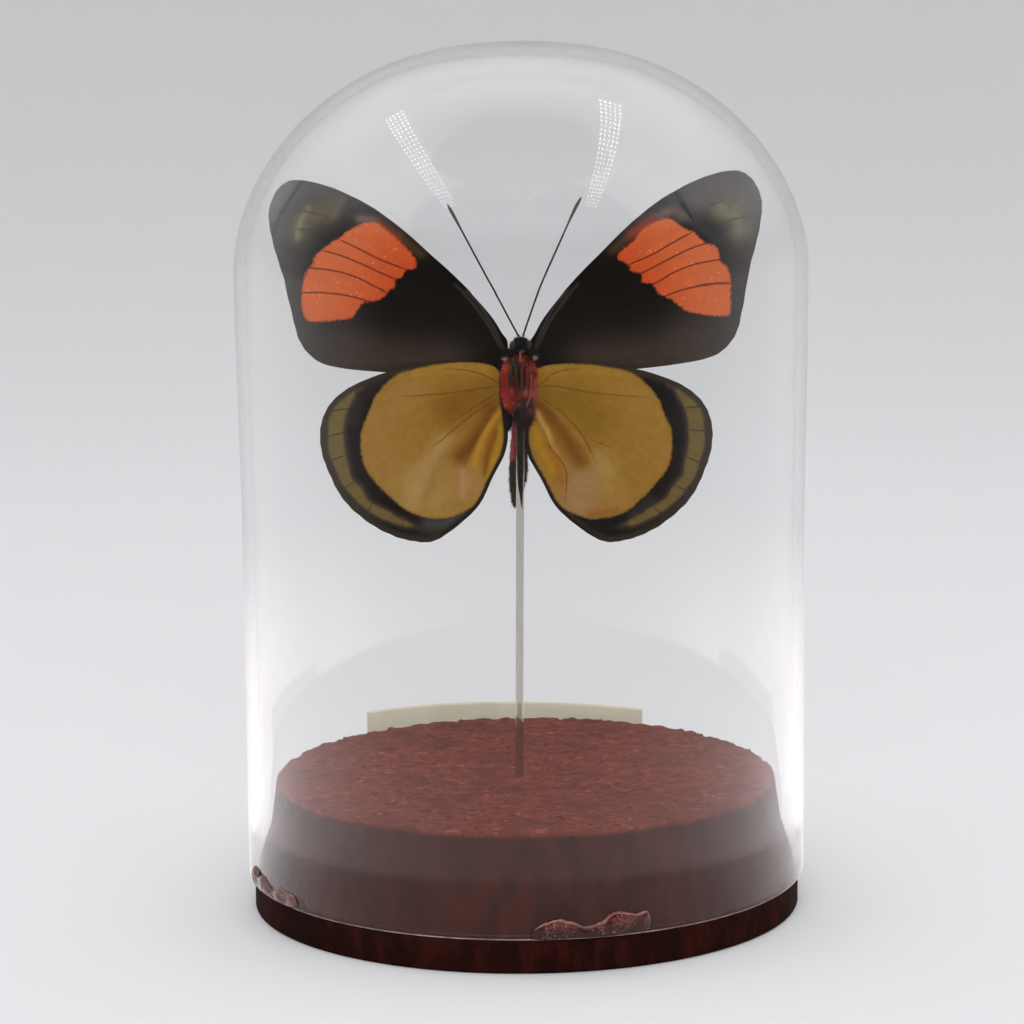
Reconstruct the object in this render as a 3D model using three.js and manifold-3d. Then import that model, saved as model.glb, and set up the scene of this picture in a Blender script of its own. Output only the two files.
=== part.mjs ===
// Mounted butterfly in a glass dome.
// A painted-beauty butterfly, underside to the front, stands on a clear rod that is
// pushed into a stepped cork base. An open-bottomed glass dome stands on the cork's step.
// Units are millimetres, +Z is up, -Y is the front. The origin is the bottom centre of the base.

import * as THREE from 'three';
import { mergeVertices } from 'three/addons/utils/BufferGeometryUtils.js';
import Module from 'manifold-3d';

const wasm = await Module();
wasm.setup();

// ---------------------------------------------------------------- driving dimensions

const BASE = { flangeRadius: 49.0, flangeHeight: 5.9, plugFoot: 47.4, plugTop: 44.8, height: 23.5 };
const DOME = { radius: 50.0, shoulderRadius: 50.6, straightTop: 61.0, shoulder: 115.3, top: 154.2, wall: 2.0 };
const CAP_POWER = { radius: 2.268, height: 1.767 };   // superellipse powers of the rounded cap
const DOME_SIDES = 44;
const CORK_SIDES = 60;
const RIM_GAP = 0.05;                                  // the glass rim stands just clear of the cork
const FIT_GAP = 0.3;                                   // clearance round the rod in its two holes

const ROD = { radius: 0.72, depthInCork: 7.5, front: -3.3, footX: -1.23, topX: -0.35, topUp: -4.6 };

const BODY_X = -0.53;          // the insect's middle line
const BODY_Z = 93.64;          // middle of its thorax
const THORAX_Y = -1.8;
const WING_THICKNESS = 0.35;
const VEIN_RADIUS = 0.24;
const DIHEDRAL = 4.0;          // degrees that each wing leans back from the body

// Each pair of wings hangs on hinge points beside the thorax: out from the middle line,
// forward or back, and up from the body's middle. The insect sits slightly askew on its rod:
// turn raises the right wing and lowers the left one, askew moves them sideways, lift up and down.
const FOREWING = { out: 2.8, y: -0.4, up: 6.2, turn: 1.0, askew: 0.0, lift: 0.15, innerEdge: 1.9 };
const HINDWING = { out: 2.8, y: -1.3, up: 0.0, turn: 0.6, askew: 0.66, lift: 0.29, innerEdge: 2.95 };

// Wing outlines, from the front of the root round the tip to the back of the root,
// as distance out from the hinge and height above it.
const FOREWING_OUTLINE = [
  [-0.9, 1.4], [0.1, 3.1], [1.7, 5.8], [4.0, 8.7], [6.5, 11.5], [9.4, 14.5], [12.5, 17.4], [15.5, 20.3],
  [18.9, 23.2], [22.9, 26.1], [28.5, 29.0], [33.1, 30.5], [35.9, 30.9], [37.7, 30.7], [39.7, 29.3],
  [41.1, 26.5], [41.3, 23.7], [40.5, 19.4], [38.9, 13.7], [37.4, 6.6], [36.3, 2.4], [34.3, -0.4],
  [31.3, -2.1], [24.6, -3.2], [12.9, -4.0], [5.8, -3.7], [0.4, -2.8], [-0.6, -1.9],
];
const HINDWING_OUTLINE = [
  [-0.6, 1.0], [0.4, 2.9], [2.2, 3.8], [5.8, 4.2], [10.5, 4.0], [15.0, 3.4], [19.7, 2.6], [24.1, 1.1],
  [27.2, -0.4], [29.9, -2.6], [31.5, -5.2], [32.2, -8.3], [31.9, -12.0], [30.7, -15.5], [28.9, -19.3],
  [26.5, -22.2], [22.8, -25.1], [19.0, -27.0], [15.9, -27.8], [13.2, -28.0], [10.6, -27.0], [6.5, -23.9],
  [3.7, -20.9], [1.6, -16.6], [0.0, -13.7], [-0.7, -12.2], [-1.3, -9.6], [-1.2, -6.2], [-0.8, -3.5],
];

// Main veins, in the same measures as the outlines.
const FOREWING_VEINS = [
  [[0.3, 1.4], [8.0, 9.4], [16.6, 16.4], [27.0, 24.6], [35.0, 29.4]],
  [[16.6, 16.4], [30.0, 23.2], [40.2, 26.6]],
  [[17.0, 14.9], [28.6, 20.0], [40.6, 23.6]],
  [[18.2, 13.0], [28.6, 17.0], [40.0, 19.6]],
  [[0.0, 0.2], [8.0, 4.0], [15.3, 7.6], [20.2, 10.7], [28.7, 14.2], [38.6, 15.6]],
  [[16.6, 16.4], [18.2, 13.0], [20.2, 10.7]],
  [[17.4, 8.9], [23.4, 9.0], [30.5, 10.4], [37.6, 10.0]],
  [[11.5, 5.7], [22.0, 4.4], [36.2, 3.8]],
];
const HINDWING_VEINS = [
  [[0.9, 0.3], [6.0, -1.0], [14.0, -1.8], [22.0, -2.5], [29.8, -3.9]],
  [[8.0, -1.4], [18.0, -4.8], [31.2, -8.8]],
  [[10.0, -3.6], [18.0, -7.6], [30.8, -13.1]],
  [[10.8, -6.2], [18.0, -11.5], [28.4, -18.3]],
  [[0.9, -1.0], [4.6, -4.2], [9.5, -8.3], [16.0, -14.5], [23.9, -23.0]],
  [[9.5, -8.3], [10.8, -6.2], [10.0, -3.6], [8.0, -1.4]],
  [[6.4, -5.8], [11.0, -14.5], [17.6, -25.8]],
  [[0.9, -3.0], [3.6, -9.0], [7.6, -18.0], [10.6, -25.2]],
];

// Feelers, as distance right of the insect's middle line and height above the body's middle.
const ANTENNA_LEFT = [
  [0.0, 9.1], [-1.7, 12.3], [-3.2, 15.2], [-5.5, 19.5], [-9.2, 26.6], [-11.4, 30.8], [-12.3, 32.4],
];
const ANTENNA_RIGHT = [
  [0.8, 9.2], [1.7, 11.8], [3.1, 15.7], [4.6, 19.4], [6.5, 23.6], [9.7, 30.6], [11.2, 33.4],
];
const ANTENNA = { radius: 0.17, clubRadius: 0.36, clubStart: 0.8, baseY: -2.8, tipY: -2.0 };

// Data label on the outside of the glass at the back; angles are from straight back, plus to the right.
const LABEL = { from: -36.8, to: 27.1, bottom: 6.6, height: 19.0, radius: 50.25, thickness: 0.2, slope: 1.1 };

// Dried glue squeezed out over the rim; angles are from straight front, plus to the right.
const GLUE_FRONT = { name: 'glue_bead_front', from: 0.2, to: 24.5, middle: 8.1, halfHeight: 1.9, ripples: 5 };
const GLUE_LEFT = { name: 'glue_bead_left', from: -76.0, to: -52.5, middle: 7.9, halfHeight: 1.5, ripples: 4 };
const GLUE = { radius: 50.3, halfThickness: 0.2 };

const COLOURS = {
  cork: 0x6a4540, glass: 0xe9eef0, acrylic: 0xdfe3e2, forewing: 0x1c1512, hindwing: 0x8a6630,
  thorax: 0x7c3426, abdomen: 0x2e221d, head: 0x17120f, leg: 0x3a2a1a, proboscis: 0x9c6a5c,
  label: 0xb1ab97, glue: 0xb07f78,
};

// ---------------------------------------------------------------- shape helpers

const radians = THREE.MathUtils.degToRad;

// Moves every corner of a geometry to where place(x, y, z) says.
function reshape(geometry, place) {
  const position = geometry.attributes.position;
  for (let i = 0; i < position.count; i += 1) {
    position.setXYZ(i, ...place(position.getX(i), position.getY(i), position.getZ(i)));
  }
  return geometry;
}

// A closed tube along a curve whose radius varies; depth squashes it front to back.
function sweep(curve, radiusAt, sides, steps, depth = 1) {
  const tube = new THREE.CylinderGeometry(1, 1, 1, sides, steps);
  return reshape(tube, (x, y, z) => {
    const along = THREE.MathUtils.clamp(y + 0.5, 0, 1);
    const centre = curve.getPointAt(along);
    const forward = curve.getTangentAt(along);
    const across = new THREE.Vector3(0, -1, 0).cross(forward).normalize();
    const front = new THREE.Vector3().crossVectors(forward, across);
    const radius = radiusAt(along);
    centre.addScaledVector(across, x * radius);
    centre.addScaledVector(front, -z * radius * depth);
    return centre.toArray();
  });
}

// Straight runs between [position, value] pairs.
function blend(stops, at) {
  const after = Math.max(1, stops.findIndex(([position]) => position >= at));
  const [[from, low], [to, high]] = [stops[after - 1], stops[after]];
  return THREE.MathUtils.mapLinear(THREE.MathUtils.clamp(at, from, to), from, to, low, high);
}

function smoothCurve(points) {
  return new THREE.CatmullRomCurve3(points.map((point) => new THREE.Vector3(...point)));
}

function ellipsoid(radii, centre, across, down) {
  return new THREE.SphereGeometry(1, across, down).scale(...radii).translate(...centre);
}

function toManifold(geometry) {
  const bare = geometry.clone();
  bare.deleteAttribute('normal');
  bare.deleteAttribute('uv');
  const welded = mergeVertices(bare, 1e-4);
  return new wasm.Manifold(new wasm.Mesh({
    numProp: 3,
    vertProperties: new Float32Array(welded.attributes.position.array),
    triVerts: new Uint32Array(welded.index.array),
  }));
}

function toGeometry(manifold) {
  const mesh = manifold.getMesh();
  const geometry = new THREE.BufferGeometry();
  geometry.setAttribute('position', new THREE.BufferAttribute(mesh.vertProperties, 3));
  geometry.setIndex(new THREE.BufferAttribute(mesh.triVerts, 1));
  geometry.computeVertexNormals();
  return geometry;
}

function joined(geometries) {
  return toGeometry(geometries.map(toManifold).reduce((whole, piece) => whole.add(piece)));
}

function cut(geometry, tool) {
  return toGeometry(toManifold(geometry).subtract(toManifold(tool)));
}

function finish(colour, roughness, extra = {}) {
  return new THREE.MeshStandardMaterial({ color: colour, roughness, metalness: 0, ...extra });
}

function piece(name, geometry, material) {
  const mesh = new THREE.Mesh(geometry, material);
  mesh.name = name;
  return mesh;
}

// ---------------------------------------------------------------- glass dome

function domeWall(inset) {
  const wall = [];
  for (let i = 0; i <= 3; i += 1) {
    const share = i / 3;
    const ease = share * share * (3 - 2 * share);
    const radius = DOME.radius + (DOME.shoulderRadius - DOME.radius) * ease - inset;
    wall.push(new THREE.Vector2(radius, THREE.MathUtils.lerp(DOME.straightTop, DOME.shoulder, share)));
  }
  const capSteps = 8;
  for (let i = 1; i <= capSteps; i += 1) {
    const turn = (i / capSteps) * (Math.PI / 2);
    const radius = (DOME.shoulderRadius - inset) * Math.cos(turn) ** (2 / CAP_POWER.radius);
    const rise = (DOME.top - DOME.shoulder - inset) * Math.sin(turn) ** (2 / CAP_POWER.height);
    wall.push(new THREE.Vector2(i === capSteps ? 0 : radius, DOME.shoulder + rise));
  }
  return wall;
}

// The section runs from the top of the inside down to the rounded rim and back up the outside.
function glassDome() {
  const rimZ = BASE.flangeHeight + RIM_GAP;
  const half = DOME.wall / 2;
  const rim = [];
  for (let i = 0; i <= 4; i += 1) {
    const turn = Math.PI + (i / 4) * Math.PI;
    const middle = DOME.radius - half;
    rim.push(new THREE.Vector2(middle + half * Math.cos(turn), rimZ + half + half * Math.sin(turn)));
  }
  const section = [...domeWall(DOME.wall).reverse(), ...rim, ...domeWall(0)];
  const glass = new THREE.LatheGeometry(section, DOME_SIDES).rotateX(Math.PI / 2);
  const material = finish(COLOURS.glass, 0.05, { transparent: true, opacity: 0.25 });
  return piece('glass_dome', glass, material);
}

// ---------------------------------------------------------------- cork base

// Crumbly cork edge: how far the edge strays from its circle at an angle.
function crumble(angle) {
  return 0.13 * Math.sin(9 * angle + 1.0) + 0.11 * Math.sin(14 * angle + 2.2) + 0.08 * Math.sin(21 * angle);
}

function rodPath(fromZ, toZ) {
  const footZ = BASE.height - ROD.depthInCork;
  const topZ = BODY_Z + ROD.topUp;
  const xAt = (z) => THREE.MathUtils.mapLinear(z, footZ, topZ, ROD.footX, ROD.topX);
  return new THREE.LineCurve3(
    new THREE.Vector3(xAt(fromZ), ROD.front, fromZ),
    new THREE.Vector3(xAt(toZ), ROD.front, toZ),
  );
}

function rodHole(fromZ, toZ) {
  return sweep(rodPath(fromZ, toZ), () => ROD.radius + FIT_GAP, 12, 1);
}

function corkBase() {
  const section = [
    [0, 0], [BASE.flangeRadius - 0.4, 0], [BASE.flangeRadius, 0.4],
    [BASE.flangeRadius, BASE.flangeHeight - 0.4], [BASE.flangeRadius - 0.4, BASE.flangeHeight],
    [BASE.plugFoot, BASE.flangeHeight],
    [THREE.MathUtils.lerp(BASE.plugFoot, BASE.plugTop, 0.5), BASE.height / 2 + BASE.flangeHeight / 2],
    [BASE.plugTop, BASE.height - 0.9], [BASE.plugTop - 0.5, BASE.height - 0.2],
    [BASE.plugTop - 1.4, BASE.height], [0, BASE.height],
  ].map(([radius, z]) => new THREE.Vector2(radius, z));
  const cork = new THREE.LatheGeometry(section, CORK_SIDES).rotateX(Math.PI / 2);
  reshape(cork, (x, y, z) => {
    const radius = Math.hypot(x, y);
    const onEdge = radius > 40 && z > 0.1 && (z < BASE.flangeHeight - 0.2 || z > BASE.flangeHeight + 2);
    const stray = onEdge ? crumble(Math.atan2(y, x)) : 0;
    const scale = radius > 0 ? (radius + stray) / radius : 1;
    return [x * scale, y * scale, z];
  });
  const footZ = BASE.height - ROD.depthInCork - FIT_GAP;
  return piece('cork_base', cut(cork, rodHole(footZ, BASE.height + 2)), finish(COLOURS.cork, 0.95));
}

function supportRod() {
  const path = rodPath(BASE.height - ROD.depthInCork, BODY_Z + ROD.topUp);
  const material = finish(COLOURS.acrylic, 0.1, { transparent: true, opacity: 0.5 });
  return piece('support_rod', sweep(path, () => ROD.radius, 16, 1), material);
}

// ---------------------------------------------------------------- wings

// The inner edge stays clear of the thorax, whose distance the hinge settles.
function wing(name, outline, veins, hinge, side, material) {
  const out = hinge.out - side * hinge.askew;
  const nearest = hinge.innerEdge - out;
  const corners = outline.map(([x, z]) => new THREE.Vector2(side * Math.max(x, nearest), z));
  const margin = new THREE.SplineCurve(corners).getPoints(corners.length * 2);
  const sheet = new THREE.ExtrudeGeometry(new THREE.Shape(margin), {
    depth: WING_THICKNESS, bevelEnabled: false, steps: 1,
  });
  sheet.rotateX(Math.PI / 2).translate(0, WING_THICKNESS / 2, 0);
  const ribs = veins.map((vein) => {
    const path = smoothCurve(vein.map(([x, z]) => [side * Math.max(x, nearest + 0.3), 0, z]));
    return sweep(path, (along) => VEIN_RADIUS * (1 - 0.12 * along), 4, vein.length - 1);
  });
  const mesh = piece(name, joined([sheet, ...ribs]), material);
  mesh.position.set(side * out, hinge.y, hinge.up - side * hinge.lift);
  mesh.rotation.set(0, -radians(hinge.turn), side * radians(DIHEDRAL));
  return mesh;
}

// ---------------------------------------------------------------- body of the insect

function thorax() {
  const girth = [
    [0, 0.9], [0.1, 2.0], [0.28, 2.65], [0.5, 2.8], [0.7, 2.7], [0.87, 2.25], [0.96, 1.5], [1, 0.8],
  ];
  const trunk = sweep(
    smoothCurve([[0, THORAX_Y, -4.45], [0, THORAX_Y, 0.6], [0, THORAX_Y, 5.7]]),
    (along) => blend(girth, along), 14, 10, 0.88,
  );
  const rearHump = ellipsoid([1.5, 1.25, 2.7], [0.8, -3.2, -4.2], 10, 7);
  const hole = rodHole(-10 + BODY_Z, BODY_Z + ROD.topUp + FIT_GAP).translate(-BODY_X, 0, -BODY_Z);
  return piece('thorax', cut(joined([trunk, rearHump]), hole), finish(COLOURS.thorax, 0.9));
}

function abdomen() {
  const girth = [
    [0, 0.9], [0.05, 1.15], [0.2, 1.2], [0.42, 1.5], [0.6, 1.7],
    [0.72, 1.62], [0.84, 1.3], [0.93, 0.9], [1, 0.25],
  ];
  const rings = 8;
  const axis = smoothCurve([[0, -0.9, -4.8], [-0.1, -0.9, -9], [-0.2, -0.9, -16], [-0.55, -0.8, -21.9]]);
  const body = sweep(axis, (along) => {
    const groove = Math.abs(Math.sin(along * rings * Math.PI));
    return blend(girth, along) * (0.93 + 0.07 * groove);
  }, 10, rings * 2, 0.88);
  return piece('abdomen', body, finish(COLOURS.abdomen, 0.9));
}

function head() {
  const middle = [0.4, -2.6, 7.45];
  const [x, y, z] = middle;
  const palps = [-1, 1].map((side) => {
    const route = [[0.45, -0.9, -0.5], [0.5, -2.0, 0.0], [0.5, -2.7, 0.9]];
    const path = smoothCurve(route.map(([out, forward, up]) => [x + side * out, y + forward, z + up]));
    return sweep(path, (along) => 0.42 - 0.22 * along, 6, 3);
  });
  const eyes = [-1, 1].map((side) => ellipsoid([0.8, 0.85, 0.95], [x + side * 1.25, y - 0.2, z], 9, 6));
  const skull = ellipsoid([1.45, 1.4, 1.35], middle, 10, 8);
  return piece('head', joined([skull, ...eyes, ...palps]), finish(COLOURS.head, 0.6));
}

// The coiled tongue, rolled up under the head in an upright loop.
function proboscis() {
  const turns = 1.6;
  const points = [[0.4, -4.2, 6.35]];
  for (let i = 0; i <= 14; i += 1) {
    const share = i / 14;
    const angle = share * turns * 2 * Math.PI + Math.PI / 2;
    const radius = 0.95 - 0.62 * share;
    points.push([0.25, -5.5 + radius * Math.sin(angle) * 0.9, 5.75 + radius * Math.cos(angle)]);
  }
  return piece('proboscis', sweep(smoothCurve(points), () => 0.14, 5, 20), finish(COLOURS.proboscis, 0.5));
}

function antenna(name, points) {
  const last = points.length - 1;
  const yAt = (i) => THREE.MathUtils.lerp(ANTENNA.baseY, ANTENNA.tipY, i / last);
  const path = smoothCurve(points.map(([x, z], i) => [x, yAt(i), z]));
  const club = [[0, ANTENNA.radius], [ANTENNA.clubStart, ANTENNA.radius], [0.92, ANTENNA.clubRadius], [1, 0.12]];
  return piece(name, sweep(path, (along) => blend(club, along), 5, 18), finish(COLOURS.head, 0.7));
}

// Legs folded against the underside: out from the middle line, forward or back, up.
const LEG_PATHS = {
  leg_mid: [
    [1.5, -4.5, 0.6], [1.4, -4.75, 3.2], [1.1, -5.0, 4.4],
    [0.55, -5.05, 3.8], [0.45, -5.0, 1.4], [0.4, -4.95, -1.2],
  ],
  leg_hind: [[2.05, -3.95, 2.6], [2.1, -4.0, 0.6], [1.85, -4.25, -1.4], [1.35, -4.85, -3.2]],
};

function leg(name, points, side) {
  const path = smoothCurve(points.map(([x, y, z]) => [side * x, y, z]));
  const limb = sweep(path, (along) => 0.26 - 0.1 * along, 5, points.length + 3);
  return piece(name, limb, finish(COLOURS.leg, 0.8));
}

// ---------------------------------------------------------------- label and glue on the outside of the glass

function dataLabel() {
  const start = radians(90 - LABEL.to);
  const end = radians(90 - LABEL.from);
  const strip = new THREE.Shape();
  strip.absarc(0, 0, LABEL.radius + LABEL.thickness, start, end, false);
  strip.absarc(0, 0, LABEL.radius, end, start, true);
  const paper = new THREE.ExtrudeGeometry(strip, { depth: LABEL.height, bevelEnabled: false, curveSegments: 12 });
  const slope = Math.tan(radians(LABEL.slope));
  reshape(paper, (x, y, z) => [x, y, LABEL.bottom + z - slope * x]);
  return piece('data_label', paper, finish(COLOURS.label, 0.85));
}

// A flat bead that follows the rim, with a rippled top and thin ends.
function glueBead(bead) {
  const blob = reshape(new THREE.CylinderGeometry(1, 1, 1, 6, 12), (x, y, z) => {
    const along = THREE.MathUtils.clamp(y + 0.5, 0, 1);
    const angle = radians(THREE.MathUtils.lerp(bead.from, bead.to, along));
    const fade = Math.max(0.25, Math.sin(Math.PI * along) ** 0.35);
    const ripple = 0.78 + 0.22 * Math.sin(along * bead.ripples * 2 * Math.PI);
    const radius = GLUE.radius - z * GLUE.halfThickness * fade;
    const rise = x * bead.halfHeight * fade * (x > 0 ? ripple : 1);
    return [radius * Math.sin(angle), -radius * Math.cos(angle), bead.middle + rise];
  });
  return piece(bead.name, blob, finish(COLOURS.glue, 0.3));
}

// ---------------------------------------------------------------- assembly

const forewingFinish = finish(COLOURS.forewing, 0.85);
const hindwingFinish = finish(COLOURS.hindwing, 0.85);

const insect = new THREE.Group();
insect.position.set(BODY_X, 0, BODY_Z);
insect.add(thorax(), abdomen(), head(), proboscis());
insect.add(antenna('antenna_left', ANTENNA_LEFT), antenna('antenna_right', ANTENNA_RIGHT));
for (const [word, side] of [['left', -1], ['right', 1]]) {
  insect.add(wing(`forewing_${word}`, FOREWING_OUTLINE, FOREWING_VEINS, FOREWING, side, forewingFinish));
  insect.add(wing(`hindwing_${word}`, HINDWING_OUTLINE, HINDWING_VEINS, HINDWING, side, hindwingFinish));
  for (const [name, points] of Object.entries(LEG_PATHS)) {
    insect.add(leg(`${name}_${word}`, points, side));
  }
}

const part = new THREE.Group();
part.add(glassDome(), corkBase(), supportRod(), insect);
part.add(dataLabel(), glueBead(GLUE_FRONT), glueBead(GLUE_LEFT));

export default part;
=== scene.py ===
# A painted-beauty butterfly on a clear rod in a dyed cork base, under a glass dome.
import math
import bpy
import numpy as np
from mathutils import Matrix, Vector


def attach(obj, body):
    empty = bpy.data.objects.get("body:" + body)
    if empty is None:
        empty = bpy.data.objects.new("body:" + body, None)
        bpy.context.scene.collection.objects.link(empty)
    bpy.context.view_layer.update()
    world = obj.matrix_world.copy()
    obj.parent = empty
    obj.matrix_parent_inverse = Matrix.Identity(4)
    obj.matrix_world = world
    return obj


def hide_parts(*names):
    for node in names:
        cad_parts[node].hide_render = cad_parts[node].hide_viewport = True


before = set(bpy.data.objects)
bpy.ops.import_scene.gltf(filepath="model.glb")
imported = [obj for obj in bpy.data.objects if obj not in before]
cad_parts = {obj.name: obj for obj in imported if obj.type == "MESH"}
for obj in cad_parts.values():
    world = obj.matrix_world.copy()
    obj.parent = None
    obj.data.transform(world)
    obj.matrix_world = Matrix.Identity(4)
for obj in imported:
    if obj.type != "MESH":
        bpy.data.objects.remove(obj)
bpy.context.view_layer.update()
mm = 0.001
print("frame loaded with", len(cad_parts), "nodes")


# ---- shader helpers: a wire is one socket, a graph is one node tree, a finish is one material

class Wire:
    def __init__(self, finish, socket):
        self.finish = finish
        self.socket = socket

    def maths(self, operation, first, second=0.0):
        return self.finish.node("ShaderNodeMath", {"operation": operation}, {0: first, 1: second})

    def __add__(self, other):
        return self.maths("ADD", self, other)

    def __sub__(self, other):
        return self.maths("SUBTRACT", self, other)

    def __rsub__(self, other):
        return self.maths("SUBTRACT", other, self)

    def __mul__(self, other):
        return self.maths("MULTIPLY", self, other)

    def most(self, other):
        return self.maths("MAXIMUM", self, other)

    def wave(self):
        return self.maths("SINE", self)

    def size(self):
        return self.maths("ABSOLUTE", self)

    __radd__ = __add__
    __rmul__ = __mul__


class Graph:
    def __init__(self, tree):
        self.tree = tree

    # settings go in first, because they can change which sockets a node has
    def node(self, kind, settings, sockets, output=0):
        made = self.tree.nodes.new(kind)
        for label, value in settings.items():
            if label == "stops":
                for spot, (at, colour) in enumerate(value):
                    stop = made.color_ramp.elements[spot] if spot < 2 else made.color_ramp.elements.new(at)
                    stop.position = at
                    stop.color = colour
            else:
                setattr(made, label, value)
        for label, value in sockets.items():
            if isinstance(value, Wire):
                self.tree.links.new(value.socket, made.inputs[label])
            else:
                made.inputs[label].default_value = value
        return Wire(self, made.outputs[output])

    # 0 at the low value and 1 at the high one, with soft ends; low may be the larger of the two
    def step(self, wire, low, high):
        return self.node("ShaderNodeMapRange", {"interpolation_type": "SMOOTHSTEP"}, {
            "Value": wire, "From Min": low, "From Max": high})

    def mix(self, share, first, second, blend="MIX"):
        return self.node("ShaderNodeMix", {"data_type": "RGBA", "blend_type": blend}, {
            0: share, 6: first, 7: second}, 2)

    # lays a colour over another where a value passes from low to high
    def over(self, ground, colour, wire, low, high, share=1.0, blend="MIX"):
        return self.mix(self.step(wire, low, high) * share, ground, colour, blend)

    def ramp(self, wire, stops):
        return self.node("ShaderNodeValToRGB", {"stops": stops}, {0: wire}, "Color")

    def part(self, vector, axis):
        return self.node("ShaderNodeSeparateXYZ", {}, {0: vector}, axis)

    def vector(self, operation, *sockets, output=0):
        return self.node("ShaderNodeVectorMath", {"operation": operation}, dict(enumerate(sockets)), output)


class Finish(Graph):
    def __init__(self, name, fixed):
        self.material = bpy.data.materials.new(name)
        self.material.use_nodes = True
        super().__init__(self.material.node_tree)
        self.shader = self.tree.nodes["Principled BSDF"]
        for label, value in fixed.items():
            self.shader.inputs[label].default_value = value
        self.place = self.node("ShaderNodeTexCoord", {}, {}, "Object")

    def put(self, label, wire):
        self.tree.links.new(wire.socket, self.shader.inputs[label])

    def noise(self, size, detail=2.0, roughness=0.5, twist=0.0, place=None, output=0):
        return self.node("ShaderNodeTexNoise", {}, {
            "Vector": place or self.place, "Scale": 1 / (size * mm), "Detail": detail,
            "Roughness": roughness, "Distortion": twist}, output)

    def cells(self, size, output="Distance", place=None):
        return self.node("ShaderNodeTexVoronoi", {}, {
            "Vector": place or self.place, "Scale": 1 / (size * mm)}, output)

    def attribute(self, name, output="Fac"):
        return self.node("ShaderNodeAttribute", {"attribute_name": name}, {}, output)

    def shifted(self, wire, amount):
        spread = self.node("ShaderNodeVectorMath", {"operation": "SCALE"}, {0: wire, "Scale": amount})
        return self.vector("ADD", self.place, spread)

    # the finish's last step: its colour, and a relief of that depth in mm
    def painted(self, colour, height, depth, strength=1.0):
        self.put("Base Color", colour)
        self.put("Normal", self.bump(height, depth, strength))

    def bump(self, height, depth, strength=1.0):
        return self.node("ShaderNodeBump", {}, {
            "Height": height, "Distance": depth * mm, "Strength": strength})


# An 8-bit screen colour as the linear one that a shader takes.
def tint(red, green, blue):
    parts = [channel / 255 for channel in (red, green, blue)]
    return tuple(c / 12.92 if c < 0.04045 else ((c + 0.055) / 1.055) ** 2.4 for c in parts) + (1.0,)


# ---- modelling helpers

def clearSelection():
    for item in bpy.context.selected_objects:
        item.select_set(False)
    bpy.context.view_layer.objects.active = None


def chosen(piece):
    clearSelection()
    piece.select_set(True)
    bpy.context.view_layer.objects.active = piece


def editing(on):
    bpy.ops.object.mode_set(mode="EDIT" if on else "OBJECT")


def applied(piece, kind, **settings):
    modifier = piece.modifiers.new(kind.lower(), kind)
    for label, value in settings.items():
        setattr(modifier, label, value)
    chosen(piece)
    bpy.ops.object.modifier_apply(modifier=modifier.name)


def corners(piece):
    flat = np.empty(len(piece.data.vertices) * 3)
    piece.data.vertices.foreach_get("co", flat)
    return flat.reshape(-1, 3)


def moveCorners(piece, places):
    piece.data.vertices.foreach_set("co", np.ascontiguousarray(places, float).ravel())
    piece.data.update()


# One number, vector or colour for each corner, as an attribute that a finish can read.
def setValues(piece, name, values):
    wide = 1 if np.ndim(values) == 1 else np.shape(values)[1]
    kind, field = {1: ("FLOAT", "value"), 3: ("FLOAT_VECTOR", "vector"), 4: ("FLOAT_COLOR", "color")}[wide]
    layer = piece.data.attributes.new(name, kind, "POINT")
    layer.data.foreach_set(field, np.asarray(values, float).ravel())


# The last thing done to a piece: its name, its finish and its place on the frame.
def settle(piece, name, finishes, nodes=()):
    chosen(piece)
    bpy.ops.object.transform_apply(location=True, rotation=True, scale=True)
    bpy.ops.object.shade_smooth()
    piece.name = name
    piece.data.name = name
    for finish in finishes:
        piece.data.materials.append(finish.material)
    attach(piece, "root")
    if nodes:
        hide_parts(*nodes)
    clearSelection()


# A ring stretched upwards, ring by ring: each one is (x, y, z, half width, half depth) in mm.
def lofted(rings, sides, closeFoot=True, closeTop=True):
    clearSelection()
    x, y, z, wide, deep = rings[0]
    bpy.ops.mesh.primitive_circle_add(vertices=sides, radius=1, location=(x * mm, y * mm, z * mm))
    piece = bpy.context.object
    piece.scale = (wide * mm, deep * mm, 1)
    bpy.ops.object.transform_apply(location=True, rotation=True, scale=True)
    editing(True)
    bpy.ops.mesh.select_mode(type="VERT")
    bpy.ops.mesh.select_all(action="SELECT")
    if closeFoot:
        bpy.ops.mesh.edge_face_add()
        bpy.ops.mesh.poke()
        bpy.ops.mesh.select_all(action="DESELECT")
        bpy.ops.mesh.select_non_manifold()
    for last, ring in zip(rings, rings[1:]):
        move = [(b - a) * mm for a, b in zip(last[:3], ring[:3])]
        bpy.ops.mesh.extrude_region_move(TRANSFORM_OT_translate={"value": move})
        centre = tuple(v * mm for v in ring[:3])
        bpy.ops.transform.resize(value=(ring[3] / last[3], ring[4] / last[4], 1), center_override=centre)
    if closeTop:
        bpy.ops.mesh.edge_face_add()
        bpy.ops.mesh.poke()
    bpy.ops.mesh.select_all(action="SELECT")
    bpy.ops.mesh.normals_make_consistent(inside=False)
    editing(False)
    return piece


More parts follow.
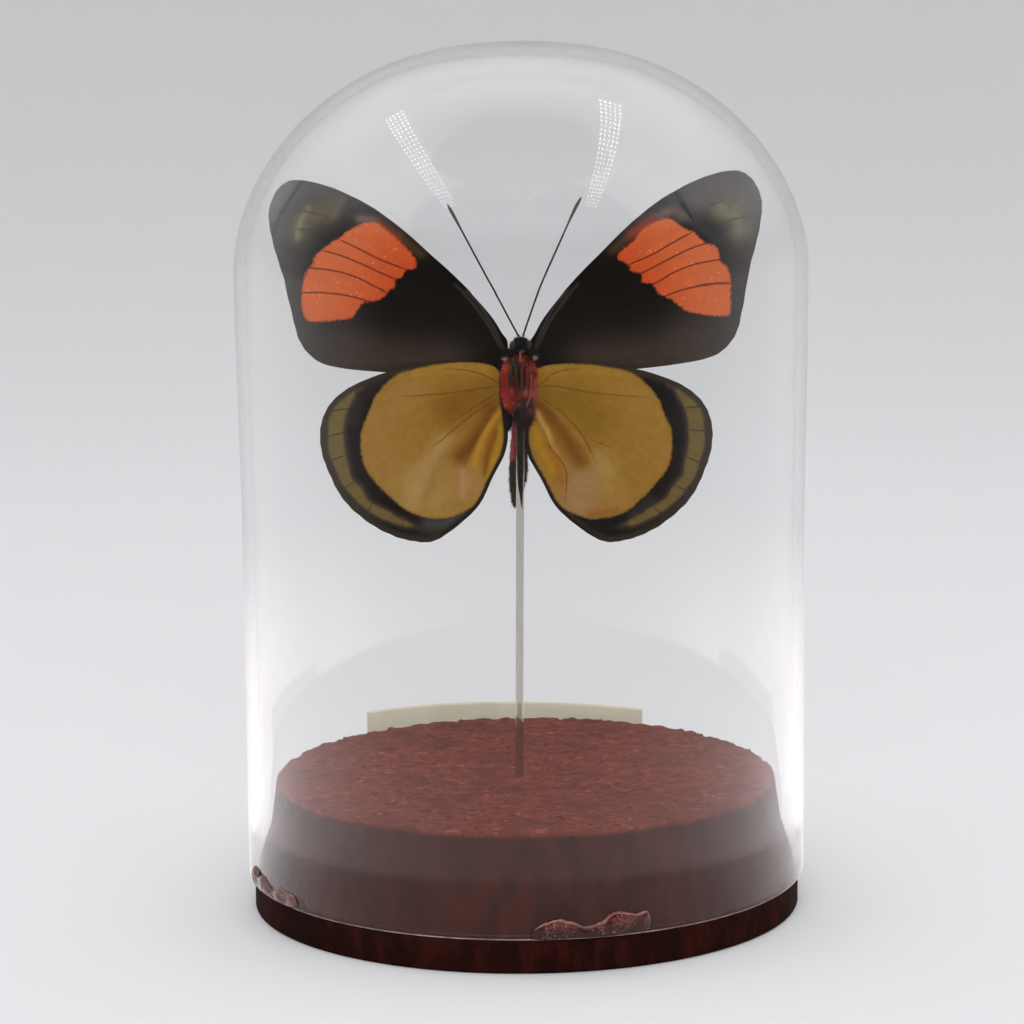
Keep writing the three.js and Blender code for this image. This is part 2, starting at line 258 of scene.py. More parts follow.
# A smooth line through a few points.
def curved(points, steps=8, closed=False):
    points = np.asarray(points, float)
    if closed:
        before, after, beyond = (np.roll(points, shift, 0) for shift in (1, -1, -2))
    else:
        padded = np.vstack([2 * points[0] - points[1], points, 2 * points[-1] - points[-2]])
        before, points, after, beyond = padded[:-3], padded[1:-2], padded[2:-1], padded[3:]
    line = []
    for p0, p1, p2, p3 in zip(before, points, after, beyond):
        for t in np.arange(steps) / steps:
            line.append(0.5 * (2 * p1 + (p2 - p0) * t + (2 * p0 - 5 * p1 + 4 * p2 - p3) * t ** 2
                               + (3 * p1 - p0 - 3 * p2 + p3) * t ** 3))
    line.append(line[0] if closed else padded[-2])
    return np.array(line)


def evenly(line, count):
    run = np.concatenate([[0], np.cumsum(np.linalg.norm(np.diff(line, axis=0), axis=1))])
    at = np.linspace(0, run[-1], count)
    return np.stack([np.interp(at, run, line[:, axis]) for axis in range(line.shape[1])], 1)


def distanceTo(line, places):
    nearest = np.full(len(places), 1e9)
    for start, end in zip(line[:-1], line[1:]):
        run = end - start
        share = np.clip((places - start) @ run / max(run @ run, 1e-12), 0, 1)
        nearest = np.minimum(nearest, np.linalg.norm(places - start - share[:, None] * run, axis=1))
    return nearest


# Distance to a closed outline, less than nothing inside it.
def signedTo(outline, places):
    inside = np.zeros(len(places), bool)
    for (x0, z0), (x1, z1) in zip(outline[:-1], outline[1:]):
        if abs(z1 - z0) > 1e-9:
            spans = (places[:, 1] < z0) != (places[:, 1] < z1)
            inside ^= spans & (places[:, 0] < x0 + (places[:, 1] - z0) * (x1 - x0) / (z1 - z0))
    return distanceTo(outline, places) * np.where(inside, -1, 1)


# Slow waves that repeat exactly on every run.
def ripple(places, size, seed):
    chance = np.random.default_rng(seed)
    total = np.zeros(len(places))
    for _ in range(6):
        way = chance.normal(size=places.shape[1])
        way /= np.linalg.norm(way)
        total += np.sin(places @ way * chance.uniform(0.6, 1.5) * 2 * np.pi / size
                        + chance.uniform(0, 6.28))
    return total / 6


def roughened(piece, depth, size, seed, way=(1, 1, 1)):
    spots = corners(piece) / mm
    moveCorners(piece, (spots + depth * ripple(spots, size, seed)[:, None] * way) * mm)


# A sheet fanned out from one point to its outline; returns the piece and its flat places in mm.
def fanned(outline, middle, around, outward):
    clearSelection()
    bpy.ops.mesh.primitive_grid_add(x_subdivisions=around, y_subdivisions=outward, size=1)
    piece = bpy.context.object
    share = corners(piece)[:, :2] + 0.5
    margin = evenly(outline, 4 * around + 1)
    at = share[:, 0] * 4 * around
    spots = np.stack([np.interp(at, np.arange(len(margin)), margin[:, axis]) for axis in (0, 1)], 1)
    flat = np.asarray(middle, float) + (spots - middle) * share[:, 1:]
    moveCorners(piece, np.stack([flat[:, 0] * mm, 0 * at, flat[:, 1] * mm], 1))
    editing(True)
    bpy.ops.mesh.select_all(action="SELECT")
    bpy.ops.mesh.remove_doubles(threshold=1e-6)
    editing(False)
    return piece, corners(piece)[:, [0, 2]] / mm


# Turns the faces of an open sheet so that they look along a direction.
def faceTowards(piece, direction):
    total = Vector((0, 0, 0))
    for face in piece.data.polygons:
        total += face.normal * face.area
    if total.dot(Vector(direction)) < 0:
        chosen(piece)
        editing(True)
        bpy.ops.mesh.select_all(action="SELECT")
        bpy.ops.mesh.flip_normals()
        editing(False)


# A round tube along a path in mm, with its own thickness at each point.
def tubed(path, radii, roundness=3):
    clearSelection()
    curve = bpy.data.curves.new("path", "CURVE")
    curve.dimensions = "3D"
    curve.bevel_depth = mm
    curve.bevel_resolution = roundness
    curve.use_fill_caps = True
    spline = curve.splines.new("POLY")
    spline.points.add(len(path) - 1)
    for point, place, radius in zip(spline.points, path, radii):
        point.co = (*(v * mm for v in place), 1)
        point.radius = radius
    piece = bpy.data.objects.new("path", curve)
    bpy.context.collection.objects.link(piece)
    chosen(piece)
    bpy.ops.object.convert(target="MESH")
    return bpy.context.object


def joined(items):
    chosen(items[0])
    for item in items:
        item.select_set(True)
    bpy.ops.object.join()
    return bpy.context.object


# Tapered hairs on a body. tones gives each root's colour, and comb is where the tips lean: one
# direction, or a function of the roots.
def haired(body, look, tones, comb, seed):
    chance = np.random.default_rng(seed)
    body.data.calc_loop_triangles()
    faces = np.array([t.vertices[:] for t in body.data.loop_triangles])
    spots = corners(body)
    a, b, c = (spots[faces[:, k]] for k in range(3))
    cross = np.cross(b - a, c - a)
    area = np.linalg.norm(cross, axis=1)
    pick = chance.choice(len(faces), look["count"], p=area / area.sum())
    u, v = np.sqrt(chance.random(len(pick))), chance.random(len(pick))
    root = a[pick] * (1 - u)[:, None] + b[pick] * (u * (1 - v))[:, None] + c[pick] * (u * v)[:, None]
    root /= mm
    out = cross[pick] / np.maximum(area[pick], 1e-18)[:, None]
    comb = comb(root) if callable(comb) else np.array(comb)
    lean = out * look["stand"] + comb * look["lay"] + chance.normal(size=root.shape) * look["stray"]
    lean /= np.linalg.norm(lean, axis=1)[:, None]
    length = look["length"] * chance.uniform(0.55, 1.25, (len(root), 1))
    bend = lean + comb * look["lay"] * 0.8 + chance.normal(size=root.shape) * look["stray"] * 0.5
    bend /= np.linalg.norm(bend, axis=1)[:, None]
    middle = root + lean * length * 0.55
    tip = middle + bend * length * 0.45
    side = np.cross(lean, [0.3, 0.2, 0.93])
    side /= np.linalg.norm(side, axis=1)[:, None]
    back = np.cross(lean, side)
    points = []
    for centre, width in ((root - out * 0.1, 1.0), (middle, 0.75)):
        for turn in (0, 2.094, 4.189):
            points.append(centre + (side * math.cos(turn) + back * math.sin(turn)) * look["width"] * width)
    points = np.stack(points + [tip], 1).reshape(-1, 3) * mm
    one = [(0, 1, 4, 3), (1, 2, 5, 4), (2, 0, 3, 5), (3, 4, 6), (4, 5, 6), (5, 3, 6)]
    mesh = bpy.data.meshes.new("hair")
    mesh.from_pydata(points, [], [tuple(7 * n + k for k in face) for n in range(len(root)) for face in one])
    piece = bpy.data.objects.new("hair", mesh)
    bpy.context.collection.objects.link(piece)
    shade = np.clip(tones(root) * chance.uniform(0.6, 1.55, (len(root), 1)), 0, 1)
    setValues(piece, "tone", np.repeat(np.hstack([shade, np.ones((len(root), 1))]), 7, axis=0))
    return piece


# ---- camera, floor and light

studio = {
    "distance": 0.650, "height": 0.1782, "aside": -0.00199, "pitch": 9.379, "roll": -0.556, "lens": 129.9,
    # the far floor colour is painted shade, and the high wall colour is painted light
    "floor": tint(221, 221, 223), "shadedFarFloor": tint(210, 210, 211), "fade": (0.5, 1.05),
    "litHighWall": tint(238, 238, 239), "sky": (0.80, 0.80, 0.81, 1), "skyPower": 0.8,
    "floorBend": 0.6, "bendRadius": 1.0, "wallTop": 2.2,
    # how much of the room the glass shows, from the front (0) to the back (1): walls, table, ceiling
    "far": [(0.0, 0.03), (0.2, 0.05), (0.45, 0.35), (0.6, 0.6), (0.75, 0.9), (1.0, 1.0)],
    "near": [(0.0, 0.47), (0.2, 0.82), (0.4, 1.32), (0.6, 1.75), (0.8, 1.5)], "nearTint": (1, 0.95, 0.94),
    "ceiling": 1.4,
    "lamps": [
        ("topLight", (0, -0.05, 0.85), (0, 0, 0), (0.8, 0.8), 1.8),
        ("frontLight", (0.0, -0.9, 0.45), (0, 0, 0.09), (0.7, 0.5), 4.0),
        ("leftLight", (-0.8, 0.1, 0.55), (0, 0, 0.08), (1.2, 0.9), 1.85),
        ("rightLight", (0.8, 0.1, 0.55), (0, 0, 0.08), (1.2, 0.9), 1.85),
        ("backLight", (0.0, 0.8, 0.9), (0, 0, 0.08), (1.4, 0.9), 1.85)],
    "strips": [
        ("leftStrip", (-0.275, -0.08, 0.6), 0.0, (0.062, 0.66)),
        ("rightStrip", (0.235, -0.10, 0.6), 0.15, (0.060, 0.64))],
    "stripPower": 1.2, "dotRows": 5, "dotsInRow": 26,
}


def placeCamera():
    pitch, roll = math.radians(studio["pitch"]), math.radians(studio["roll"])
    right, up = Vector((1, 0, 0)), Vector((0, math.sin(pitch), math.cos(pitch)))
    x = right * math.cos(roll) + up * math.sin(roll)
    y = up * math.cos(roll) - right * math.sin(roll)
    bpy.ops.object.camera_add()
    camera = bpy.context.object
    camera.data.lens = studio["lens"]
    camera.data.sensor_width = 36
    camera.data.clip_start = 0.01
    turn = Matrix((x, y, x.cross(y))).transposed().to_4x4()
    camera.matrix_world = Matrix.Translation((studio["aside"], -studio["distance"], studio["height"])) @ turn
    bpy.context.scene.camera = camera


# How much of the room a reflection shows: little of its front, where a dark cloth hangs behind the
# camera, more towards the sides and the back, more again of the table close by, and most of the
# ceiling. Straight looks and lamp light see the pale room.
def reflectedShare(graph, direction, closeness, openness):
    even = graph.vector("NORMALIZE", graph.vector("MULTIPLY", direction, (1, 1, 0)))
    backwards = graph.part(even, 1) * 0.5 + 0.5
    far = [(at, (share, share, share, 1)) for at, share in studio["far"]]
    near = [(at, (*(share * channel for channel in studio["nearTint"]), 1)) for at, share in studio["near"]]
    shown = graph.mix(closeness, graph.ramp(backwards, far), graph.ramp(backwards, near))
    shown = graph.mix(openness, shown, (*[studio["ceiling"]] * 3, 1))
    bounced = graph.step(graph.node("ShaderNodeLightPath", {}, {}, "Glossy Depth"), 0.4, 0.6)
    seen = bounced * (1 - graph.node("ShaderNodeLightPath", {}, {}, "Is Diffuse Ray"))
    return graph.mix(seen, (1, 1, 1, 1), shown)


# A pale floor that curves up all round, its paper painted darker far off as shade and paler up the wall as
# light.
def layFloor():
    start, turn = studio["floorBend"], studio["bendRadius"]
    bend = [(start + turn * math.sin(t), turn - turn * math.cos(t)) for t in np.linspace(0, math.pi / 2, 24)]
    rings = [(0, 0, h * 1000 - 0.01, r * 1000, r * 1000)
             for r, h in [(0.2, 0), (0.4, 0), *bend, (start + turn, studio["wallTop"])]]
    floor = lofted(rings, 96, closeTop=False)
    floor.name = "studioFloor"
    finish = Finish("studioPaper", {"Roughness": 0.9, "Specular IOR Level": 0.1})
    away = finish.vector("LENGTH", finish.place, output="Value")
    height = finish.part(finish.place, 2)
    shown = reflectedShare(finish, finish.place, finish.step(away, 0.45, 0.12), finish.step(height, 0.8, 1.6))
    paper = finish.over(studio["floor"], studio["shadedFarFloor"], away, *studio["fade"])
    paper = finish.over(paper, studio["litHighWall"], height, 0.12, 0.6)
    finish.put("Base Color", finish.mix(1.0, paper, shown, "MULTIPLY"))
    floor.data.materials.append(finish.material)
    chosen(floor)
    bpy.ops.object.shade_smooth()


def softLight(name, spot, aim, size, power, inGlass=False):
    clearSelection()
    bpy.ops.object.light_add(type="AREA", location=spot)
    lamp = bpy.context.object
    lamp.name = name
    lamp.data.shape = "RECTANGLE"
    lamp.data.size, lamp.data.size_y = size
    lamp.data.energy = power
    lamp.rotation_euler = (Vector(aim) - Vector(spot)).to_track_quat("-Z", "Y").to_euler()
    lamp.visible_camera = False
    lamp.visible_transmission = False
    lamp.visible_glossy = inGlass
    lamp.visible_diffuse = not inGlass
    return lamp


# A strip of small lights in rows, seen only as the two dotted gleams on the glass.
def ledStrip(name, spot, turn, size):
    lamp = softLight(name, spot, (spot[0], spot[1], 0), size, studio["stripPower"], inGlass=True)
    lamp.rotation_euler = (0, 0, turn)
    lamp.data.use_nodes = True
    graph = Graph(lamp.data.node_tree)
    spread = graph.node("ShaderNodeNewGeometry", {}, {}, "Parametric")
    across, along = graph.part(spread, 0), graph.part(spread, 1)
    dots = graph.step((across * (studio["dotRows"] * 2 * math.pi)).wave(), 0.1, 0.9)
    dots = graph.step((along * (studio["dotsInRow"] * 2 * math.pi)).wave(), -0.1, 0.7) * dots
    dots = dots * graph.step((across - 0.5).size(), 0.02, 0.06)       # a gap between two bundles
    graph.tree.links.new((dots * 0.93 + 0.07).socket, graph.tree.nodes["Emission"].inputs["Strength"])


def lightScene():
    world = bpy.data.worlds.new("studioSky")
    bpy.context.scene.world = world
    world.use_nodes = True
    graph = Graph(world.node_tree)
    direction = graph.node("ShaderNodeTexCoord", {}, {}, "Generated")
    shown = reflectedShare(graph, direction, 0.0, graph.step(graph.part(direction, 2), 0.35, 0.65))
    sky = world.node_tree.nodes["Background"]
    sky.inputs["Strength"].default_value = studio["skyPower"]
    colour = graph.mix(1.0, studio["sky"], shown, "MULTIPLY")
    world.node_tree.links.new(colour.socket, sky.inputs["Color"])
    for lamp in studio["lamps"]:
        softLight(*lamp)
    for strip in studio["strips"]:
        ledStrip(*strip)
    bpy.context.scene.view_settings.view_transform = "Standard"


# ---- glass dome

dome = {
    "radius": 50.0, "shoulderRadius": 50.6, "straightTop": 61.0, "shoulder": 115.3, "top": 154.2,
    "wall": 2.0, "rim": 5.95, "sides": 192, "capPowers": (2.268, 1.767), "ripple": 0.02,
    "topRing": (0.9, 0.012),     # the last ring's radius, and how far it lies below the top
    # the faces at the rim's foot take a painted highlight: a pale, half clear finish for the bright line of
    # the melted edge
    "rimHighlightHeight": 0.62,             # faces with their middle less than this above the rim's foot are pale
    "rimHighlight": tint(228, 210, 203), "rimHighlightDim": tint(160, 132, 124),
    "glass": {"Roughness": 0.0, "IOR": 1.5, "Transmission Weight": 1.0,
              "Base Color": (0.997, 0.999, 0.998, 1)},
    "melted": {"Roughness": 0.4, "IOR": 1.5, "Transmission Weight": 0.45},
}


def makeDome():
    half = dome["wall"] / 2
    edge = dome["rim"] + half
    rise = dome["top"] - dome["shoulder"]
    profile = [(dome["radius"], edge), (dome["radius"], 20), (dome["radius"], 42)]
    for share in np.linspace(0, 1, 9):
        ease = share * share * (3 - 2 * share)
        profile.append((dome["radius"] + (dome["shoulderRadius"] - dome["radius"]) * ease,
                        dome["straightTop"] + (dome["shoulder"] - dome["straightTop"]) * share))
    across, up = dome["capPowers"]
    for turn in np.linspace(0, math.pi / 2, 40)[1:-1]:
        profile.append((dome["shoulderRadius"] * math.cos(turn) ** (2 / across),
                        dome["shoulder"] + rise * math.sin(turn) ** (2 / up)))
    profile.append((dome["topRing"][0], dome["top"] - dome["topRing"][1]))
    piece = lofted([(0, 0, z, r, r) for r, z in profile], dome["sides"], closeFoot=False)
    applied(piece, "SOLIDIFY", thickness=dome["wall"] * mm, offset=-1, use_even_offset=True, use_rim=True)
    # the rim is melted round: its edge ring is pushed down in a half circle
    chosen(piece)
    editing(True)
    bpy.ops.mesh.select_all(action="DESELECT")
    editing(False)
    for line in piece.data.edges:
        ends = [piece.data.vertices[k].co for k in line.vertices]
        if all(abs(end.z - edge * mm) < 1e-5 for end in ends):
            ring = [math.hypot(end.x, end.y) for end in ends]
            line.select = abs(ring[0] - ring[1]) > 1.5 * mm
    editing(True)
    bpy.ops.mesh.select_mode(type="EDGE")
    bpy.ops.mesh.subdivide(number_cuts=9)
    editing(False)
    spots = corners(piece)
    ring = np.hypot(spots[:, 0], spots[:, 1]) / mm
    low = np.abs(spots[:, 2] / mm - edge) < 0.01
    aside = np.clip(np.abs(ring - dome["radius"] + half) / half, 0, 1)
    spots[low, 2] -= half * np.sqrt(1 - aside[low] ** 2) * mm
    moveCorners(piece, spots)
    glass = Finish("clearGlass", dome["glass"])
    glass.put("Normal", glass.bump(glass.noise(22, detail=1.0), dome["ripple"], 0.35))
    # painted highlight along the melted rim
    rim = Finish("meltedRimHighlight", dome["melted"])
    rim.put("Base Color", rim.over(dome["rimHighlight"], dome["rimHighlightDim"], rim.noise(2.5, detail=3), 0.35, 0.7))
    settle(piece, "glassDome", [glass, rim], ["glass_dome"])
    for face in piece.data.polygons:
        face.material_index = int(face.center.z < (dome["rim"] + dome["rimHighlightHeight"]) * mm)
    piece.visible_shadow = False
    piece.visible_diffuse = False


# ---- cork base

cork = {
    "flangeRadius": 49.0, "flangeHeight": 5.9, "plugFoot": 47.4, "plugTop": 44.8, "height": 23.5,
    "cuts": 130, "granule": 1.5, "granuleDepth": 0.28, "pit": 2.0, "pitDepth": 0.45, "crumble": 0.8,
    "body": {"Roughness": 0.85, "Specular IOR Level": 0.05},
    "deep": tint(50, 20, 15), "dark": tint(84, 38, 29), "red": tint(115, 55, 43),
    "pink": tint(150, 80, 64), "pale": tint(176, 122, 104),
    "side": tint(60, 27, 20), "sideDark": tint(46, 22, 17), "sideRed": tint(70, 32, 25),
    "flange": tint(30, 11, 8), "flangeRed": tint(50, 18, 13),
}


def corkFinish():
    finish = Finish("dyedCork", cork["body"])
    warp = finish.shifted(finish.noise(0.8, detail=4, roughness=0.6, output="Color"), 1.2 * mm)
    grain = finish.cells(0.9, output="Color", place=warp)
    pick = finish.node("ShaderNodeSeparateColor", {}, {0: grain}, 0)
    chips = finish.noise(0.75, detail=4, roughness=0.65, twist=0.6)
    fine = finish.noise(0.3, detail=2, roughness=0.5)
    blotch = finish.noise(3.4, detail=4, roughness=0.6)
    top = finish.ramp(pick, [
        (0.0, cork["dark"]), (0.4, cork["red"]), (0.86, cork["red"]), (1.0, cork["pink"])])
    for colour, wire, low, high, share in (
            ("deep", chips, 0.40, 0.2, 0.5), ("pink", chips, 0.60, 0.74, 0.7),
            ("pale", finish.noise(0.45, detail=2), 0.70, 0.78, 0.7), ("dark", fine, 0.35, 0.65, 0.2),
            ("dark", blotch, 0.42, 0.66, 0.5), ("dark", finish.noise(11, detail=3), 0.45, 0.65, 0.5)):
        top = finish.over(top, cork[colour], wire, low, high, share)
    streaks = finish.node("ShaderNodeMapping", {}, {0: finish.place, 3: (1.0, 1.0, 0.35)})
    mottle = finish.noise(3.2, detail=4, roughness=0.6, place=streaks)
    low = finish.ramp(mottle, [(0.32, cork["sideDark"]), (0.52, cork["side"]), (0.72, cork["sideRed"])])
    low = finish.over(low, cork["sideDark"], chips, 0.42, 0.25, 0.5)
    rusty = finish.over(cork["flange"], cork["flangeRed"], mottle, 0.4, 0.7)
    low = finish.over(low, rusty, finish.attribute("foot"), 0.3, 0.7)
    side = finish.attribute("side")
    finish.painted(finish.mix(side, top, low), finish.mix(side, chips + fine * 0.2, blotch), 0.14, 0.7)
    return finish


# the rows of the disc's side from its top edge to the middle of its underside, as (radius, height)
def corkRows():
    top, height, step = cork["plugTop"], cork["height"], cork["flangeHeight"]
    taper = (cork["plugFoot"] - top) / (height - step)
    rows = [(top - 0.55, height + 0.1), (top - 0.15, height), (top + 0.05, height - 0.4)]
    rows += [(top + (height - z) * taper, z) for z in np.linspace(height - 1.0, step, 30)]
    rim = cork["flangeRadius"]
    rows += [(rim - 1.0, step), (rim - 0.45, step - 0.02), (rim - 0.15, step - 0.2)]
    rows += [(rim, z) for z in np.linspace(step - 0.6, 0.5, 10)]
    return rows + [(rim - 0.15, 0.2), (rim - 0.5, 0)] + [(r, 0) for r in (44, 34, 22, 10, 2)]


# a square grid pressed into a disc, and its edge drawn down row by row
def makeCork():
    clearSelection()
    bpy.ops.mesh.primitive_grid_add(x_subdivisions=cork["cuts"], y_subdivisions=cork["cuts"], size=2)
    piece = bpy.context.object
    x, y, _ = corners(piece).T
    wide = np.abs(x) >= np.abs(y)
    reach = np.where(wide, x, y)
    with np.errstate(divide="ignore", invalid="ignore"):
        angle = np.where(wide, math.pi / 4 * y / x, math.pi / 2 - math.pi / 4 * x / y)
    angle = np.nan_to_num(angle)
    rows = corkRows()
    top, height = rows[0]
    flat = np.stack([reach * np.cos(angle) * top, reach * np.sin(angle) * top, 0 * x + height], 1)
    moveCorners(piece, flat * mm)
    editing(True)
    bpy.ops.mesh.select_mode(type="EDGE")
    bpy.ops.mesh.select_all(action="DESELECT")
    bpy.ops.mesh.select_non_manifold()
    for (r0, z0), (r1, z1) in zip(rows, rows[1:]):
        bpy.ops.mesh.extrude_region_move(TRANSFORM_OT_translate={"value": (0, 0, (z1 - z0) * mm)})
        bpy.ops.transform.resize(value=(r1 / r0, r1 / r0, 1), center_override=(0, 0, z1 * mm))
    bpy.ops.mesh.edge_face_add()
    bpy.ops.mesh.select_all(action="SELECT")
    bpy.ops.mesh.normals_make_consistent(inside=False)
    editing(False)
    spots = corners(piece) / mm
    ring = np.hypot(spots[:, 0], spots[:, 1])
    onTop = np.clip((spots[:, 2] - cork["height"] + 1.0) / 0.8, 0, 1)
    calm = np.clip(np.abs(spots[:, 2] - cork["flangeHeight"]) / 0.5, 0, 1) * (spots[:, 2] > 0.3)
    amount = calm * np.where(onTop > 0, 1.0, 0.12)
    atEdge = onTop * np.clip((ring - 43.4) / 1.2, 0, 1)
    for name, weights in (("rough", amount), ("edge", atEdge)):
        group = piece.vertex_groups.new(name=name)
        for spot in np.flatnonzero(weights > 0):
            group.add([int(spot)], float(weights[spot]), "REPLACE")
    setValues(piece, "side", 1 - onTop)
    setValues(piece, "foot", np.clip((cork["flangeHeight"] + 0.2 - spots[:, 2]) / 0.3, 0, 1))
    granules = bpy.data.textures.new("corkGranules", "CLOUDS")
    granules.noise_scale = cork["granule"] * mm
    granules.noise_depth = 1
    pits = bpy.data.textures.new("corkPits", "CLOUDS")
    pits.noise_scale = cork["pit"] * mm
    pits.noise_depth = 1
    pits.use_color_ramp = True
    for stop, at, shade in zip(pits.color_ramp.elements, (0.26, 0.38), (0, 1)):
        stop.position = at
        stop.color = (shade, shade, shade, 1)
    for texture, depth, group, level in ((granules, cork["granuleDepth"], "rough", 0.5),
                                         (pits, cork["pitDepth"], "rough", 1.0),
                                         (granules, cork["crumble"], "edge", 0.55)):
        applied(piece, "DISPLACE", texture=texture, texture_coords="LOCAL", strength=depth * mm,
                mid_level=level, vertex_group=group)
    settle(piece, "corkBase", [corkFinish()], ["cork_base"])


# ---- support rod

rod = {
    "front": -3.3, "foot": (-1.23, 16.0), "top": (-0.35, 89.04), "sides": 48,
    "widths": [(0, 0.5), (0.003, 0.64), (0.008, 0.72), (0.011, 0.72), (0.5, 0.72), (0.987, 0.72),
               (0.99, 0.72), (0.997, 0.62), (1, 0.45)],
    "acrylic": {"Roughness": 0.03, "IOR": 1.49, "Transmission Weight": 1.0,
                "Base Color": (0.60, 0.57, 0.52, 1)},
}


def makeRod():
    (x0, z0), (x1, z1) = rod["foot"], rod["top"]
    piece = lofted([(x0 + (x1 - x0) * share, rod["front"], z0 + (z1 - z0) * share, width, width)
                    for share, width in rod["widths"]], rod["sides"])
    clear = Finish("clearAcrylic", rod["acrylic"])
    clear.put("Normal", clear.bump(clear.noise(6, detail=1), 0.01, 0.3))
    settle(piece, "supportRod", [clear], ["support_rod"])
    piece.visible_shadow = False
    piece.visible_diffuse = False


# ---- wings

insect = {"x": -0.53, "z": 93.64, "lean": 4.0, "jagged": 0.05, "veinWidth": 0.45, "veinRise": 0.08}
sideNames = {-1: "left", 1: "right"}
